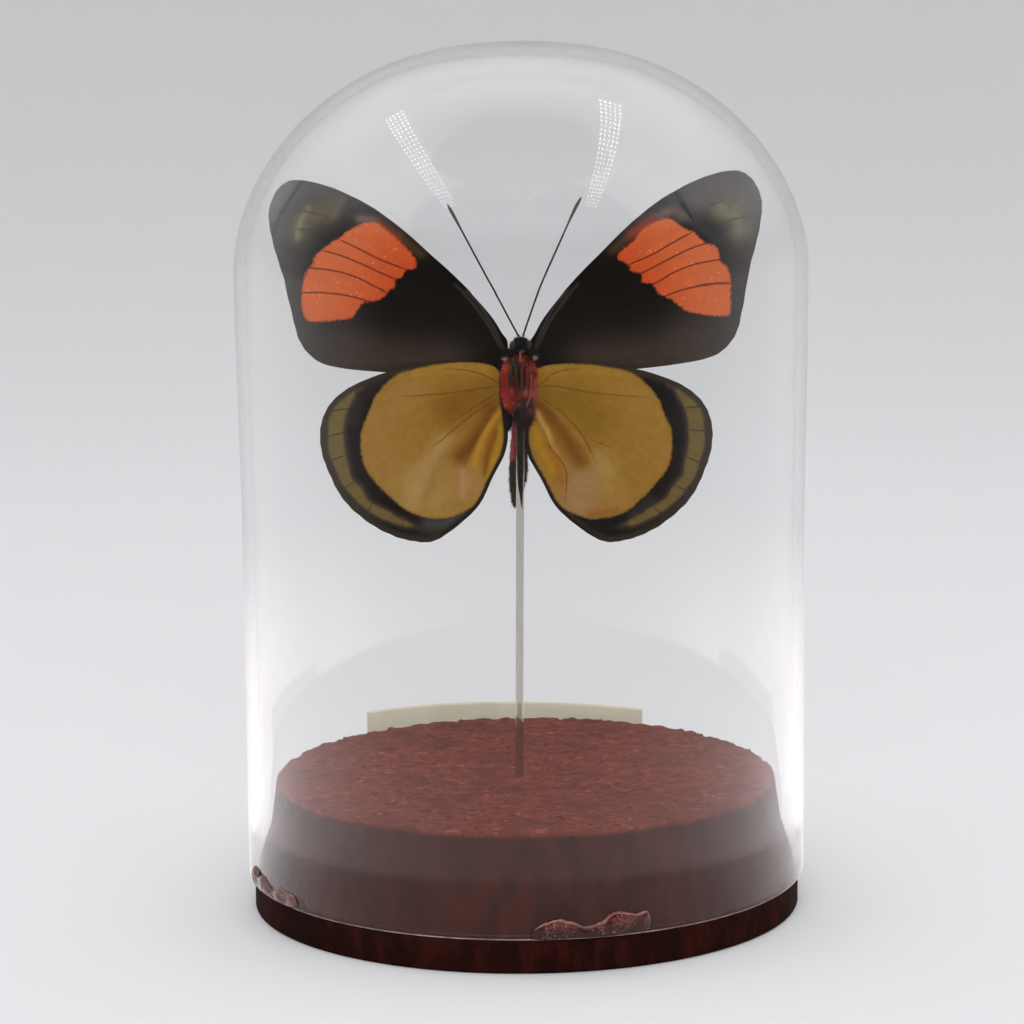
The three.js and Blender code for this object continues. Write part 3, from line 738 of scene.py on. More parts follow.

# Washes are (points, reach, screen colour, strength, rise), painted one over the other; the rise in mm
# lifts the sheet there as a fold. A wash with a rise also paints that fold's light and shade: lighter on a
# raised ridge, darker in a hollow.
forewing = {
    "hinge": (2.8, -0.4, 6.2), "turn": 1.0, "askew": 0.0, "lift": 0.15, "middle": (0.6, 0.4),
    "around": 250, "outward": 96, "thickness": 0.14, "ground": (15, 10, 6),
    "curl": (26, 20, 0.7),       # from this far out, over this length, the tip goes back by this much
    "outline": [
        (-0.9, 1.4), (0.1, 3.1), (1.7, 5.8), (4.0, 8.7), (6.5, 11.5), (9.4, 14.5), (12.5, 17.4), (15.5, 20.3),
        (18.9, 23.2), (22.9, 26.1), (28.5, 29.0), (33.1, 30.5), (35.9, 30.9), (37.7, 30.7), (39.7, 29.3),
        (41.1, 26.5), (41.3, 23.7), (40.5, 19.4), (38.9, 13.7), (37.4, 6.6), (36.3, 2.4), (34.3, -0.4),
        (31.3, -2.1), (24.6, -3.2), (12.9, -4.0), (5.8, -3.7), (0.4, -2.8), (-0.6, -1.9)],
    "veins": [
        [(0.3, 1.4), (8.0, 9.4), (16.6, 16.4), (27.0, 24.6), (35.0, 29.4)],
        [(16.6, 16.4), (30.0, 23.2), (40.2, 26.6)],
        [(17.0, 14.9), (28.6, 20.0), (40.6, 23.6)],
        [(18.2, 13.0), (28.6, 17.0), (40.0, 19.6)],
        [(0.0, 0.2), (8.0, 4.0), (15.3, 7.6), (20.2, 10.7), (28.7, 14.2), (38.6, 15.6)],
        [(16.6, 16.4), (18.2, 13.0), (20.2, 10.7)],
        [(17.4, 8.9), (23.4, 9.0), (30.5, 10.4), (37.6, 10.0)],
        [(11.5, 5.7), (22.0, 4.4), (36.2, 3.8)],
        [(0.3, -0.6), (14.0, -1.6), (31.0, -2.0)]],
    # costal veins near the root: raised, and painted lighter as their highlight
    "costalGleam": [[(-0.4, -0.4), (1.3, 3.6), (3.8, 8.0), (6.2, 10.6)],
               [(0.5, 0.7), (2.7, 5.0), (5.6, 9.0), (8.1, 11.7)]],
    "patch": {
        "left": [
            (24.5, 22.8), (22.0, 23.1), (20.2, 21.8), (18.5, 20.4), (16.8, 18.6), (15.6, 17.3), (14.9, 15.9),
            (15.3, 14.8), (16.9, 14.5), (17.5, 13.3), (18.6, 12.9), (19.0, 11.4), (20.1, 10.8), (21.0, 9.8),
            (23.0, 9.1), (24.4, 9.0), (25.5, 7.9), (26.6, 6.4), (28.8, 6.0), (32.3, 5.8), (34.1, 5.8),
            (35.2, 6.5), (35.6, 8.7), (35.6, 10.6), (35.3, 12.6), (34.5, 14.5), (33.4, 15.9), (32.8, 17.5),
            (31.5, 18.5), (30.1, 19.6), (28.3, 20.6), (27.3, 21.4), (26.1, 22.1)],
        "right": [
            (15.2, 16.0), (15.9, 17.4), (17.9, 18.8), (19.9, 21.2), (22.8, 22.5), (24.6, 22.8), (27.0, 20.9),
            (28.8, 20.2), (30.7, 18.3), (32.8, 17.4), (33.5, 15.0), (34.7, 13.6), (35.2, 11.6), (35.1, 5.9),
            (34.4, 5.2), (31.0, 5.4), (27.4, 6.2), (26.2, 7.1), (24.3, 8.6), (22.5, 9.4), (21.1, 11.2),
            (19.4, 11.6), (19.2, 13.1), (17.6, 13.6), (16.9, 14.9)]},
    "patchLines": [
        [(28.9, 20.4), (24.8, 18.4), (21.3, 16.5), (16.3, 14.5)],
        [(32.2, 18.5), (28.4, 17.4), (24.9, 15.9), (21.4, 14.2), (18.0, 12.6)],
        [(35.0, 15.3), (32.0, 15.0), (28.5, 14.4), (25.0, 13.1), (22.3, 11.6), (19.6, 10.3)],
        [(36.2, 10.8), (33.1, 10.9), (30.4, 10.7), (26.8, 10.1), (22.8, 8.9)]],
    "tipLines": {
        "left": [[(36.9, 25.7), (33.4, 25.1), (29.9, 24.1)], [(37.7, 22.5), (35.0, 22.1), (33.0, 22.1)]],
        "right": [[(30.6, 24.6), (32.4, 25.0), (33.9, 25.5)], [(34.3, 21.9), (36.0, 22.3), (38.0, 22.5)]]},
    # folds across the tip, drawn only as lines of painted shade
    "creases": {
        "left": [[(34.2, 31.4), (37.2, 27.6), (39.2, 24.4), (40.9, 20.4)]],
        "right": [[(25.0, 28.6), (26.6, 25.7), (28.4, 22.9)]]},
    "washes": {
        "both": [
            ([(30.0, 29.0), (36.5, 28.5), (39.5, 25.0), (39.0, 16.0), (37.2, 8.0), (35.0, 1.5), (30.0, -1.5)],
             5.5, (62, 57, 54), 0.95, 0),
            ([(10.0, -2.6), (20.0, -1.6), (29.0, 0.2)], 4.6, (56, 45, 37), 0.9, 0)],
        "left": [
            ([(30.4, 25.2), (33.4, 24.4), (36.0, 21.9)], 2.1, (92, 82, 58), 0.9, 0),
            ([(33.9, 25.9), (35.2, 23.9), (36.1, 20.5)], 0.5, (130, 126, 106), 0.6, 0),
            ([(27.6, 27.2), (29.4, 24.3)], 0.6, (100, 96, 92), 0.6, 0),
            ([(36.6, 29.8), (39.2, 27.8), (40.7, 24.5)], 1.5, (76, 72, 68), 0.9, 0),
            ([(24.6, 23.8), (22.2, 23.2)], 0.9, (120, 94, 88), 0.7, 0),
            ([(17.4, 20.0), (15.7, 18.7), (14.0, 17.4)], 0.9, (66, 50, 26), 0.8, 0),
            ([(21.6, 22.7), (19.8, 21.6), (18.1, 20.2)], 0.9, (120, 44, 22), 0.9, 0)],
        "right": [
            ([(29.8, 26.0), (33.5, 27.2), (37.8, 25.5)], 2.8, (86, 83, 80), 0.85, 0),
            ([(34.0, 24.0), (36.6, 22.6), (37.2, 20.4)], 2.0, (116, 110, 90), 0.85, 0),
            ([(25.4, 27.4), (27.1, 24.8), (28.6, 22.2), (31.0, 20.4), (33.5, 18.3)],
             0.8, (48, 44, 44), 0.85, 0),
            ([(22.6, 23.1), (25.1, 24.1), (27.1, 23.0)], 0.9, (108, 86, 84), 0.7, 0),
            ([(17.0, 19.8), (15.6, 18.5), (14.3, 17.6)], 0.9, (68, 50, 28), 0.8, 0),
            ([(21.4, 22.7), (19.4, 21.4), (17.8, 20.2)], 0.9, (124, 48, 26), 0.9, 0)]},
}

hindwing = {
    "hinge": (2.8, -1.3, 0.0), "turn": 0.6, "askew": 0.66, "lift": 0.29, "middle": (1.4, -1.6),
    "around": 240, "outward": 84, "thickness": 0.14, "ground": (138, 100, 36), "rimGround": (22, 17, 12),
    "curl": (12, 22, -0.45), "bandFoot": (17.5, 3.5, 0.9),       # the band thins out at the wing's foot
    "outline": [
        (-0.6, 1.0), (0.4, 2.9), (2.2, 3.8), (5.8, 4.2), (10.5, 4.0), (15.0, 3.4), (19.7, 2.6), (24.1, 1.1),
        (27.2, -0.4), (29.9, -2.6), (31.5, -5.2), (32.2, -8.3), (31.9, -12.0), (30.7, -15.5), (28.9, -19.3),
        (26.5, -22.2), (22.8, -25.1), (19.0, -27.0), (15.9, -27.8), (13.2, -28.0), (10.6, -27.0),
        (6.5, -23.9), (3.7, -20.9), (1.6, -16.6), (0.0, -13.7), (-0.7, -12.2), (-1.3, -9.6), (-1.2, -6.2),
        (-0.8, -3.5)],
    "veins": [
        [(0.9, 0.3), (6.0, -1.0), (14.0, -1.8), (22.0, -2.5), (29.8, -3.9)],
        [(8.0, -1.4), (18.0, -4.8), (31.2, -8.8)],
        [(10.0, -3.6), (18.0, -7.6), (30.8, -13.1)],
        [(10.8, -6.2), (18.0, -11.5), (28.4, -18.3)],
        [(0.9, -1.0), (4.6, -4.2), (9.5, -8.3), (16.0, -14.5), (23.9, -23.0)],
        [(9.5, -8.3), (10.8, -6.2), (10.0, -3.6), (8.0, -1.4)],
        [(6.4, -5.8), (11.0, -14.5), (17.6, -25.8)],
        [(0.0, 1.2), (8.0, 2.2), (18.0, 1.0), (26.5, -1.2)]],
    "disc": [
        (-0.1, 2.2), (2.0, 3.7), (5.7, 4.1), (10.5, 3.8), (14.9, 3.0), (17.6, 2.3), (19.2, 1.2), (20.3, 0.3),
        (21.6, -1.1), (22.7, -2.9), (23.7, -5.5), (24.7, -7.9), (24.9, -9.7), (24.9, -11.5), (24.5, -13.8),
        (23.8, -15.4), (22.2, -17.4), (20.3, -19.4), (18.2, -21.4), (16.1, -22.7), (13.8, -23.5),
        (10.2, -23.7), (7.5, -22.8), (5.3, -21.7), (3.9, -20.3), (3.3, -18.9), (0.7, -14.6), (-0.2, -11.7),
        (-0.6, -8.1), (-0.5, -5.4), (0.0, -2.8)],
    "bandOuter": [
        (24.5, -0.3), (26.6, -1.2), (28.4, -2.5), (29.7, -3.9), (30.5, -6.0), (30.8, -8.7), (30.7, -11.4),
        (30.0, -13.6), (29.2, -15.9), (28.3, -17.7), (26.8, -19.6), (25.0, -21.4), (22.7, -23.0),
        (20.1, -24.3), (16.5, -25.4), (13.0, -26.0)],
    "bandInner": [
        (12.9, -25.6), (15.6, -24.7), (18.3, -23.6), (20.9, -22.0), (23.6, -20.5), (24.9, -18.3),
        (26.7, -16.3), (27.2, -14.1), (27.8, -11.4), (27.9, -9.6), (27.9, -6.9), (27.2, -4.3),
        (26.3, -2.5), (25.5, -0.7)],
    "bandLines": {
        "left": [
            [(31.2, -4.4), (28.2, -4.0), (26.4, -3.8)], [(31.4, -9.0), (29.2, -8.4), (27.0, -7.9)],
            [(31.2, -13.5), (29.4, -12.8), (27.6, -12.1)], [(28.6, -18.4), (26.9, -17.4), (25.4, -16.4)],
            [(24.4, -23.2), (23.6, -21.9), (23.0, -20.8)], [(18.4, -26.1), (17.9, -24.9), (17.6, -23.9)]],
        "right": [
            [(31.0, -4.2), (28.9, -4.2), (26.6, -4.4)], [(31.8, -8.7), (29.5, -8.4), (27.0, -8.1)],
            [(31.0, -14.8), (29.0, -13.8), (27.0, -12.8)], [(28.3, -19.6), (26.8, -18.9), (25.2, -18.0)],
            [(23.7, -23.8), (22.5, -22.9), (21.4, -22.0)], [(17.0, -26.5), (16.4, -25.7), (15.9, -24.8)]]},
    # dark lines on the disc: veins, and fold lines where shade is painted
    "discLines": {
        "left": [[(-0.1, 0.0), (1.2, 1.0), (3.0, 1.9), (4.8, 2.5), (6.6, 2.8), (9.1, 3.0)],
                 [(0.4, -1.6), (3.2, -3.0), (5.4, -4.4), (7.8, -6.0)],
                 [(1.0, -4.4), (3.6, -8.6), (5.4, -11.6), (6.4, -14.0)],
                 [(-0.1, -0.2), (4.4, -0.7), (10.3, -1.4), (16.9, -1.8)],
                 [(0.9, -2.7), (3.6, -4.3), (6.6, -6.5), (9.4, -8.8), (12.2, -11.0)]],
        "right": [[(1.2, 0.2), (2.3, 1.1), (3.7, 2.3), (5.5, 2.9), (7.8, 3.2)],
                  [(1.4, 0.3), (4.3, 0.2), (7.3, -0.4), (12.5, -1.4), (19.7, -2.1)],
                  [(1.1, -1.1), (3.4, -3.0), (6.0, -5.1), (8.7, -8.4), (10.3, -11.4), (10.9, -12.8)],
                  [(10.7, -9.5), (12.3, -10.3), (13.8, -10.9)],
                  [(2.6, -9.1), (3.2, -10.7), (4.3, -12.1), (5.4, -13.8), (6.0, -15.4), (6.0, -17.0),
                   (5.7, -20.2)]]},
    "washes": {
        # the first wash on each side darkens the yellow by the root as painted shade; washes with a rise
        # paint the light and shade of folds
        "left": [
            ([(2.0, -1.6), (6.0, -2.8), (9.0, -4.2)], 3.6, (112, 76, 6), 0.85, 0),
            ([(3.0, 3.2), (9.0, 3.4), (14.0, 2.4)], 1.6, (146, 108, 36), 0.7, 0),
            ([(16.0, -1.0), (21.0, -6.0), (22.0, -12.0)], 3.5, (146, 108, 54), 0.6, 0),
            ([(12.0, -19.5), (16.0, -18.5)], 5.0, (152, 122, 66), 0.7, 0),
            ([(9.9, -9.7), (12.2, -12.9), (14.8, -17.0), (16.0, -20.9)], 1.5, (158, 124, 72), 0.8, 0.12),
            ([(9.6, -12.0), (12.0, -16.0), (13.2, -20.0)], 0.8, (138, 102, 54), 0.6, -0.05),
            ([(5.7, -17.0)], 2.8, (156, 116, 72), 0.8, 0),
            ([(6.8, -15.2), (6.9, -19.8)], 0.5, (168, 126, 86), 0.5, 0.06),
            ([(1.1, -4.5), (3.5, -8.4), (5.6, -11.1), (7.2, -12.7)], 1.5, (98, 52, 2), 0.9, -0.2),
            ([(-0.2, -4.7), (1.4, -6.6), (3.0, -9.3), (4.2, -12.0), (4.7, -14.3)],
             0.7, (166, 116, 34), 0.9, 0.3),
            ([(0.7, -8.4), (1.7, -10.7), (2.4, -12.9), (2.8, -15.9)], 0.6, (120, 66, 6), 0.95, -0.2),
            ([(-0.2, -7.5), (0.3, -10.7), (1.1, -13.0), (2.3, -16.2)], 0.6, (154, 116, 24), 0.8, 0.1)],
        "right": [
            ([(3.0, -1.4), (8.0, -3.2), (11.0, -5.6)], 4.2, (118, 86, 18), 0.85, 0),
            ([(3.0, 3.0), (9.0, 3.4), (14.0, 2.4)], 1.6, (140, 106, 32), 0.7, 0),
            ([(18.0, -1.0), (22.0, -6.0), (22.5, -12.0)], 3.5, (144, 108, 46), 0.6, 0),
            ([(13.0, -16.0), (14.5, -20.0)], 3.0, (150, 116, 56), 0.6, 0),
            ([(12.1, -12.8), (13.2, -15.1)], 1.6, (152, 122, 64), 0.7, 0.1),
            ([(9.0, -17.0), (8.0, -20.5)], 3.0, (146, 112, 76), 0.9, 0),
            ([(10.4, -22.9), (14.5, -22.6)], 0.9, (136, 84, 34), 0.7, 0),
            ([(1.4, -2.4), (3.8, -4.1), (6.2, -7.1), (8.7, -10.0)], 0.7, (148, 106, 44), 0.8, 0.2),
            ([(1.6, -3.4), (4.2, -6.6), (6.4, -9.9), (8.4, -13.4)], 1.6, (108, 66, 14), 0.95, -0.2),
            ([(1.0, -4.6), (1.6, -5.9), (2.8, -8.0), (3.3, -10.0), (4.2, -12.0)],
             0.55, (170, 130, 66), 0.9, 0.3),
            ([(2.8, -10.5), (4.2, -13.5), (5.0, -17.0)], 0.9, (140, 88, 22), 0.8, -0.1),
            ([(0.3, -7.0), (1.8, -11.4), (3.4, -14.8)], 0.8, (158, 112, 22), 0.85, 0.15)]},
    "rimWashes": {
        "left": [([(5.5, -22.9), (9.5, -24.6), (13.0, -24.8)], 1.6, (64, 62, 58), 0.8, 0),
                 ([(20.5, 1.2), (24.5, -1.8), (26.0, -6.0)], 1.0, (34, 30, 27), 0.7, 0)],
        "right": [([(8.0, -24.6), (12.0, -25.4), (15.0, -24.6)], 2.0, (18, 18, 16), 0.9, 0),
                  ([(18.0, -23.0), (21.0, -20.5)], 1.0, (46, 46, 44), 0.6, 0)]},
    "innerEdge": [(-0.6, 1.0), (-0.8, -3.5), (-1.2, -6.2), (-1.3, -9.6), (-0.7, -12.2), (0.0, -13.7),
                  (1.6, -16.6), (3.7, -20.9), (6.5, -23.9), (10.6, -27.0)],
}


# Takes places on a flat wing, in mm from its hinge, to where they are on the set insect.
def hung(plan, side, flat, relief):
    out, front, up = plan["hinge"]
    shape = np.stack([side * flat[:, 0], relief, flat[:, 1]], 1)
    turn = Matrix.Rotation(math.radians(-plan["turn"]), 3, "Y")
    turn = np.array(turn @ Matrix.Rotation(math.radians(side * insect["lean"]), 3, "Z"))
    x = insect["x"] + side * (out - side * plan["askew"])
    return (shape @ turn.T + (x, front, insect["z"] + up - side * plan["lift"])) * mm


def wingSheet(plan, side):
    outline = curved(plan["outline"], 10, closed=True)
    run = np.arange(len(outline))
    reach = np.linalg.norm(outline, axis=1)
    outward = outline / np.maximum(reach, 1)[:, None]
    far = np.clip((reach - 20) / 8, 0, 1)
    outline = outline + outward * (far * insect["jagged"] * np.sin(run * 0.9 + side))[:, None]
    piece, flat = fanned(outline, plan["middle"], plan["around"], plan["outward"])
    nearest = np.min([distanceTo(curved(line, 6), flat) for line in plan["veins"]], axis=0)
    reach = np.linalg.norm(flat, axis=1)
    setValues(piece, "vein", nearest)
    setValues(piece, "margin", distanceTo(outline, flat))
    setValues(piece, "reach", reach)
    start, length, back = plan["curl"]
    relief = 0.10 * ripple(flat, 9, 3 + side) + back * np.clip((reach - start) / length, 0, 1) ** 2
    return piece, flat, relief - insect["veinRise"] * np.exp(-(nearest / insect["veinWidth"]) ** 2)


# Paints the washes of a sheet into a colour for each corner, and returns how far they lift it.
def washed(piece, name, ground, washes, flat):
    total = np.tile(np.array(tint(*ground)[:3]), (len(flat), 1))
    rise = np.zeros(len(flat))
    for points, reach, colour, strength, lift in washes:
        line = curved(points, 5) if len(points) > 1 else np.array(points * 2, float)
        near = np.exp(-(distanceTo(line, flat) / reach) ** 2)
        total += (np.array(tint(*colour)[:3]) - total) * (strength * near)[:, None]
        rise += lift * near
    setValues(piece, name, np.hstack([total, np.ones((len(flat), 1))]))
    return rise


# Stores how far each place is from thin lines, three to an attribute and less than nothing on one
# side. Past a line's ends the measure grows fast, so that the line tapers out.
def ruled(piece, name, lines, flat):
    sides = []
    for line in lines:
        line = curved(line, 6)
        ends = [line[0] + (line[0] - line[1]) * 80, line[-1] + (line[-1] - line[-2]) * 80]
        longer = np.vstack([ends[0], line, ends[1]])
        nearest = np.full(len(flat), 1e9)
        side = np.zeros(len(flat))
        for start, end in zip(longer[:-1], longer[1:]):
            gap = distanceTo(np.array([start, end]), flat)
            run, rest = end - start, flat - start
            turned = run[0] * rest[:, 1] - run[1] * rest[:, 0]
            side = np.where(gap < nearest, np.where(turned < 0, -gap, gap), side)
            nearest = np.minimum(nearest, gap)
        share = np.clip((distanceTo(line, flat) - nearest) / 1.2, 0, 0.95)
        middle = np.clip(np.minimum(np.linalg.norm(flat - line[0], axis=1),
                                    np.linalg.norm(flat - line[-1], axis=1)) / 1.5, 0.5, 1)
        sides.append(side / (1 - share) / middle)
    while len(sides) % 3:
        sides.append(np.full(len(flat), 9.0))
    for part in range(0, len(sides), 3):
        setValues(piece, f"{name}{part // 3}", np.stack(sides[part:part + 3], 1))


# Where thin lines run, 1 on them and 0 beside them.
def hairlines(finish, name, count, wide, thin, jag):
    mask = None
    for part in range(count):
        vector = finish.attribute(f"{name}{part // 3}", "Vector")
        line = finish.step((finish.part(vector, part % 3) + jag).size(), wide, thin)
        mask = line if mask is None else mask.most(line)
    return mask


# the underside keeps the first finish, and the sheet's other side takes the second
def setWing(piece, plan, side, flat, relief, kind, finishes):
    moveCorners(piece, hung(plan, side, flat, relief))
    faceTowards(piece, (0, -1, 0))
    for finish in finishes:
        piece.data.materials.append(finish.material)
    applied(piece, "SOLIDIFY", thickness=plan["thickness"] * mm, offset=-1, material_offset=1,
            material_offset_rim=0)
    key = sideNames[side]
    settle(piece, kind + key.capitalize(), [], [f"{kind}_{key}"])


def makeForewing(side, finishes):
    key = sideNames[side]
    piece, flat, relief = wingSheet(forewing, side)
    setValues(piece, "patch", signedTo(curved(forewing["patch"][key], 5, closed=True), flat))
    washes = forewing["washes"]["both"] + forewing["washes"][key]
    washed(piece, "tone", forewing["ground"], washes, flat)
    ruled(piece, "patchLine", forewing["patchLines"], flat)
    ruled(piece, "tipLine", forewing["tipLines"][key], flat)
    ruled(piece, "crease", forewing["creases"][key], flat)
    costalGleam = np.min([distanceTo(curved(line, 6), flat) for line in forewing["costalGleam"]], axis=0)
    setValues(piece, "costalGleam", costalGleam)
    relief -= 0.10 * np.exp(-(costalGleam / 0.4) ** 2)
    setWing(piece, forewing, side, flat, relief, "forewing", finishes)


def makeHindwing(side, finishes):
    key = sideNames[side]
    piece, flat, relief = wingSheet(hindwing, side)
    setValues(piece, "disc", signedTo(curved(hindwing["disc"], 5, closed=True), flat))
    band = np.vstack([curved(hindwing["bandOuter"], 4), curved(hindwing["bandInner"], 4)])
    start, length, thinner = hindwing["bandFoot"]
    fade = np.clip((start - flat[:, 0]) / length, 0, 1) * thinner
    setValues(piece, "band", signedTo(np.vstack([band, band[:1]]), flat) + fade)
    setValues(piece, "inner", distanceTo(curved(hindwing["innerEdge"], 5), flat))
    relief -= washed(piece, "tone", hindwing["ground"], hindwing["washes"][key], flat)
    washed(piece, "rimTone", hindwing["rimGround"], hindwing["rimWashes"][key], flat)
    ruled(piece, "bandLine", hindwing["bandLines"][key], flat)
    ruled(piece, "discLine", hindwing["discLines"][key], flat)
    setWing(piece, hindwing, side, flat, relief, "hindwing", finishes)


wingLook = {
    "scales": {"Roughness": 0.8, "Specular IOR Level": 0.15, "Sheen Weight": 0.05, "Sheen Roughness": 0.45},
    "redInner": tint(184, 68, 28), "redOuter": tint(190, 92, 48), "redLine": tint(98, 34, 22),
    "redGlint": tint(226, 158, 124), "costalGleam": tint(66, 58, 50), "tipLine": tint(44, 40, 36),
    "crease": tint(8, 7, 6), "discLine": tint(84, 50, 14), "bandLine": tint(46, 40, 32),
    "bandEdge": tint(56, 44, 38), "band": tint(98, 82, 44), "edge": tint(46, 40, 28),
    "edgeBlack": tint(30, 26, 22), "steel": tint(52, 92, 138), "upperRed": tint(176, 44, 26),
    "upperBlack": tint(16, 14, 18), "upperGrey": tint(54, 46, 42),
}


# The small overlapping scales that every wing is dusted with, as light and dark specks.
def dusted(finish, colour, strength):
    specks = finish.noise(0.14, detail=2, roughness=0.7)
    blotch = finish.noise(1.6, detail=4, roughness=0.6)
    colour = finish.over(colour, (1.0, 0.95, 0.9, 1), specks, 0.3, 0.75, 0.22, "SOFT_LIGHT")
    colour = finish.over(colour, (0.2, 0.17, 0.16, 1), blotch, 0.3, 0.7, 0.14, "MULTIPLY")
    finish.painted(colour, specks, 0.05, strength)
    return finish


def forewingUnder():
    look = wingLook
    finish = Finish("forewingUnderside", look["scales"])
    jag = finish.noise(0.5, detail=3) - 0.5
    reach = finish.attribute("reach")
    mottle = finish.noise(1.3, detail=3, roughness=0.6)
    share = finish.step(mottle, 0.35, 0.7) * finish.step(reach, 30, 36) * 0.45
    colour = finish.mix(share, finish.attribute("tone", "Color"), (0.5, 0.5, 0.47, 1), "MULTIPLY")
    # painted highlight along the raised costal veins
    colour = finish.over(colour, look["costalGleam"], finish.attribute("costalGleam"), 0.4, 0.05, 0.5)
    fine = hairlines(finish, "tipLine", 2, 0.26, 0.08, jag * 0.15)
    colour = finish.mix(fine * 0.65, colour, look["tipLine"])
    # painted shade along the folds across the tip
    crease = hairlines(finish, "crease", 1, 0.5, 0.2, jag * 0.1)
    colour = finish.mix(crease * 0.95, colour, look["crease"])
    red = finish.over(look["redInner"], look["redOuter"], reach, 20, 34)
    # pale flecks over the red patch are painted glints
    red = finish.over(red, look["redGlint"], finish.noise(0.6, detail=1), 0.66, 0.8, 0.5)
    red = finish.mix(hairlines(finish, "patchLine", 4, 0.24, 0.07, jag * 0.12) * 0.92, red, look["redLine"])
    colour = finish.over(colour, red, finish.attribute("patch") + jag * 0.9, 0.28, -0.28)
    return dusted(finish, colour, 0.6)


def hindwingUnder():
    look = wingLook
    finish = Finish("hindwingUnderside", look["scales"])
    jag = finish.noise(0.45, detail=3) - 0.5
    slow = finish.noise(2.4, detail=2) - 0.5
    lines = hairlines(finish, "discLine", 5, 0.22, 0.03, jag * 0.15)
    yellow = finish.mix(lines * 0.62, finish.attribute("tone", "Color"), look["discLine"])
    dark = finish.attribute("rimTone", "Color")
    dark = finish.over(dark, look["edge"], finish.attribute("margin") + slow * 0.5, 1.5, 0.5)
    band = finish.attribute("band") + jag * 0.4 + slow * 0.6
    dark = finish.over(dark, look["bandEdge"], band, 1.0, 0.2, 0.7)
    crossed = hairlines(finish, "bandLine", 6, 0.22, 0.06, jag * 0.15)
    dark = finish.over(dark, look["band"], band, 0.3, -0.4, 1 - crossed * 0.85)
    colour = finish.over(yellow, dark, finish.attribute("disc") + jag * 0.7 + slow * 0.4, -0.3, 0.3)
    colour = finish.over(colour, look["edgeBlack"], finish.attribute("inner") + jag * 0.5, 0.95, 0.45)
    return dusted(finish, colour, 0.6)


def steely(finish, colour, steel):
    finish.put("Metallic", steel * 0.35)
    finish.put("Roughness", 0.78 - steel * 0.3)
    return dusted(finish, colour, 0.7)


def forewingUpper():
    look = wingLook
    finish = Finish("forewingUpperside", look["scales"])
    jag = (finish.noise(0.8, detail=3) - 0.5) * 1.3
    reach = finish.attribute("reach")
    patch = finish.attribute("patch") + jag
    outer = finish.step(patch, 2.0, 3.2) * finish.step(reach, 26, 30) * finish.step(reach, 41, 37)
    steel = finish.step(reach + jag * 2, 15.5, 12.5).most(outer)
    steel = steel * finish.step(finish.attribute("vein"), 0.2, 0.6)
    colour = finish.mix(steel * 0.85, look["upperBlack"], look["steel"])
    colour = finish.over(colour, look["upperRed"], patch, 0.3, -0.3)
    lines = hairlines(finish, "patchLine", 4, 0.3, 0.1, jag * 0.1)
    colour = finish.over(colour, look["upperBlack"], patch, 0.3, -0.3, lines * 0.7)
    return steely(finish, colour, steel)


def hindwingUpper():
    look = wingLook
    finish = Finish("hindwingUpperside", look["scales"])
    jag = (finish.noise(0.9, detail=3) - 0.5) * 1.4
    steel = finish.step(finish.attribute("disc") + jag, -4.5, -2.5)
    steel = steel * finish.step(finish.attribute("margin") + jag, 1.2, 2.2)
    steel = steel * finish.step(finish.attribute("vein"), 0.25, 0.8)
    colour = finish.mix(steel * 0.85, look["upperBlack"], look["steel"])
    colour = finish.over(colour, look["upperGrey"], finish.attribute("inner"), 4.0, 1.0, 0.6)
    return steely(finish, colour, steel)


def makeWings():
    for makeWing, finishes in ((makeForewing, [forewingUnder(), forewingUpper()]),
                               (makeHindwing, [hindwingUnder(), hindwingUpper()])):
        for side in sideNames:
            makeWing(side, finishes)


# ---- the body: all its measures are mm from the middle of the thorax

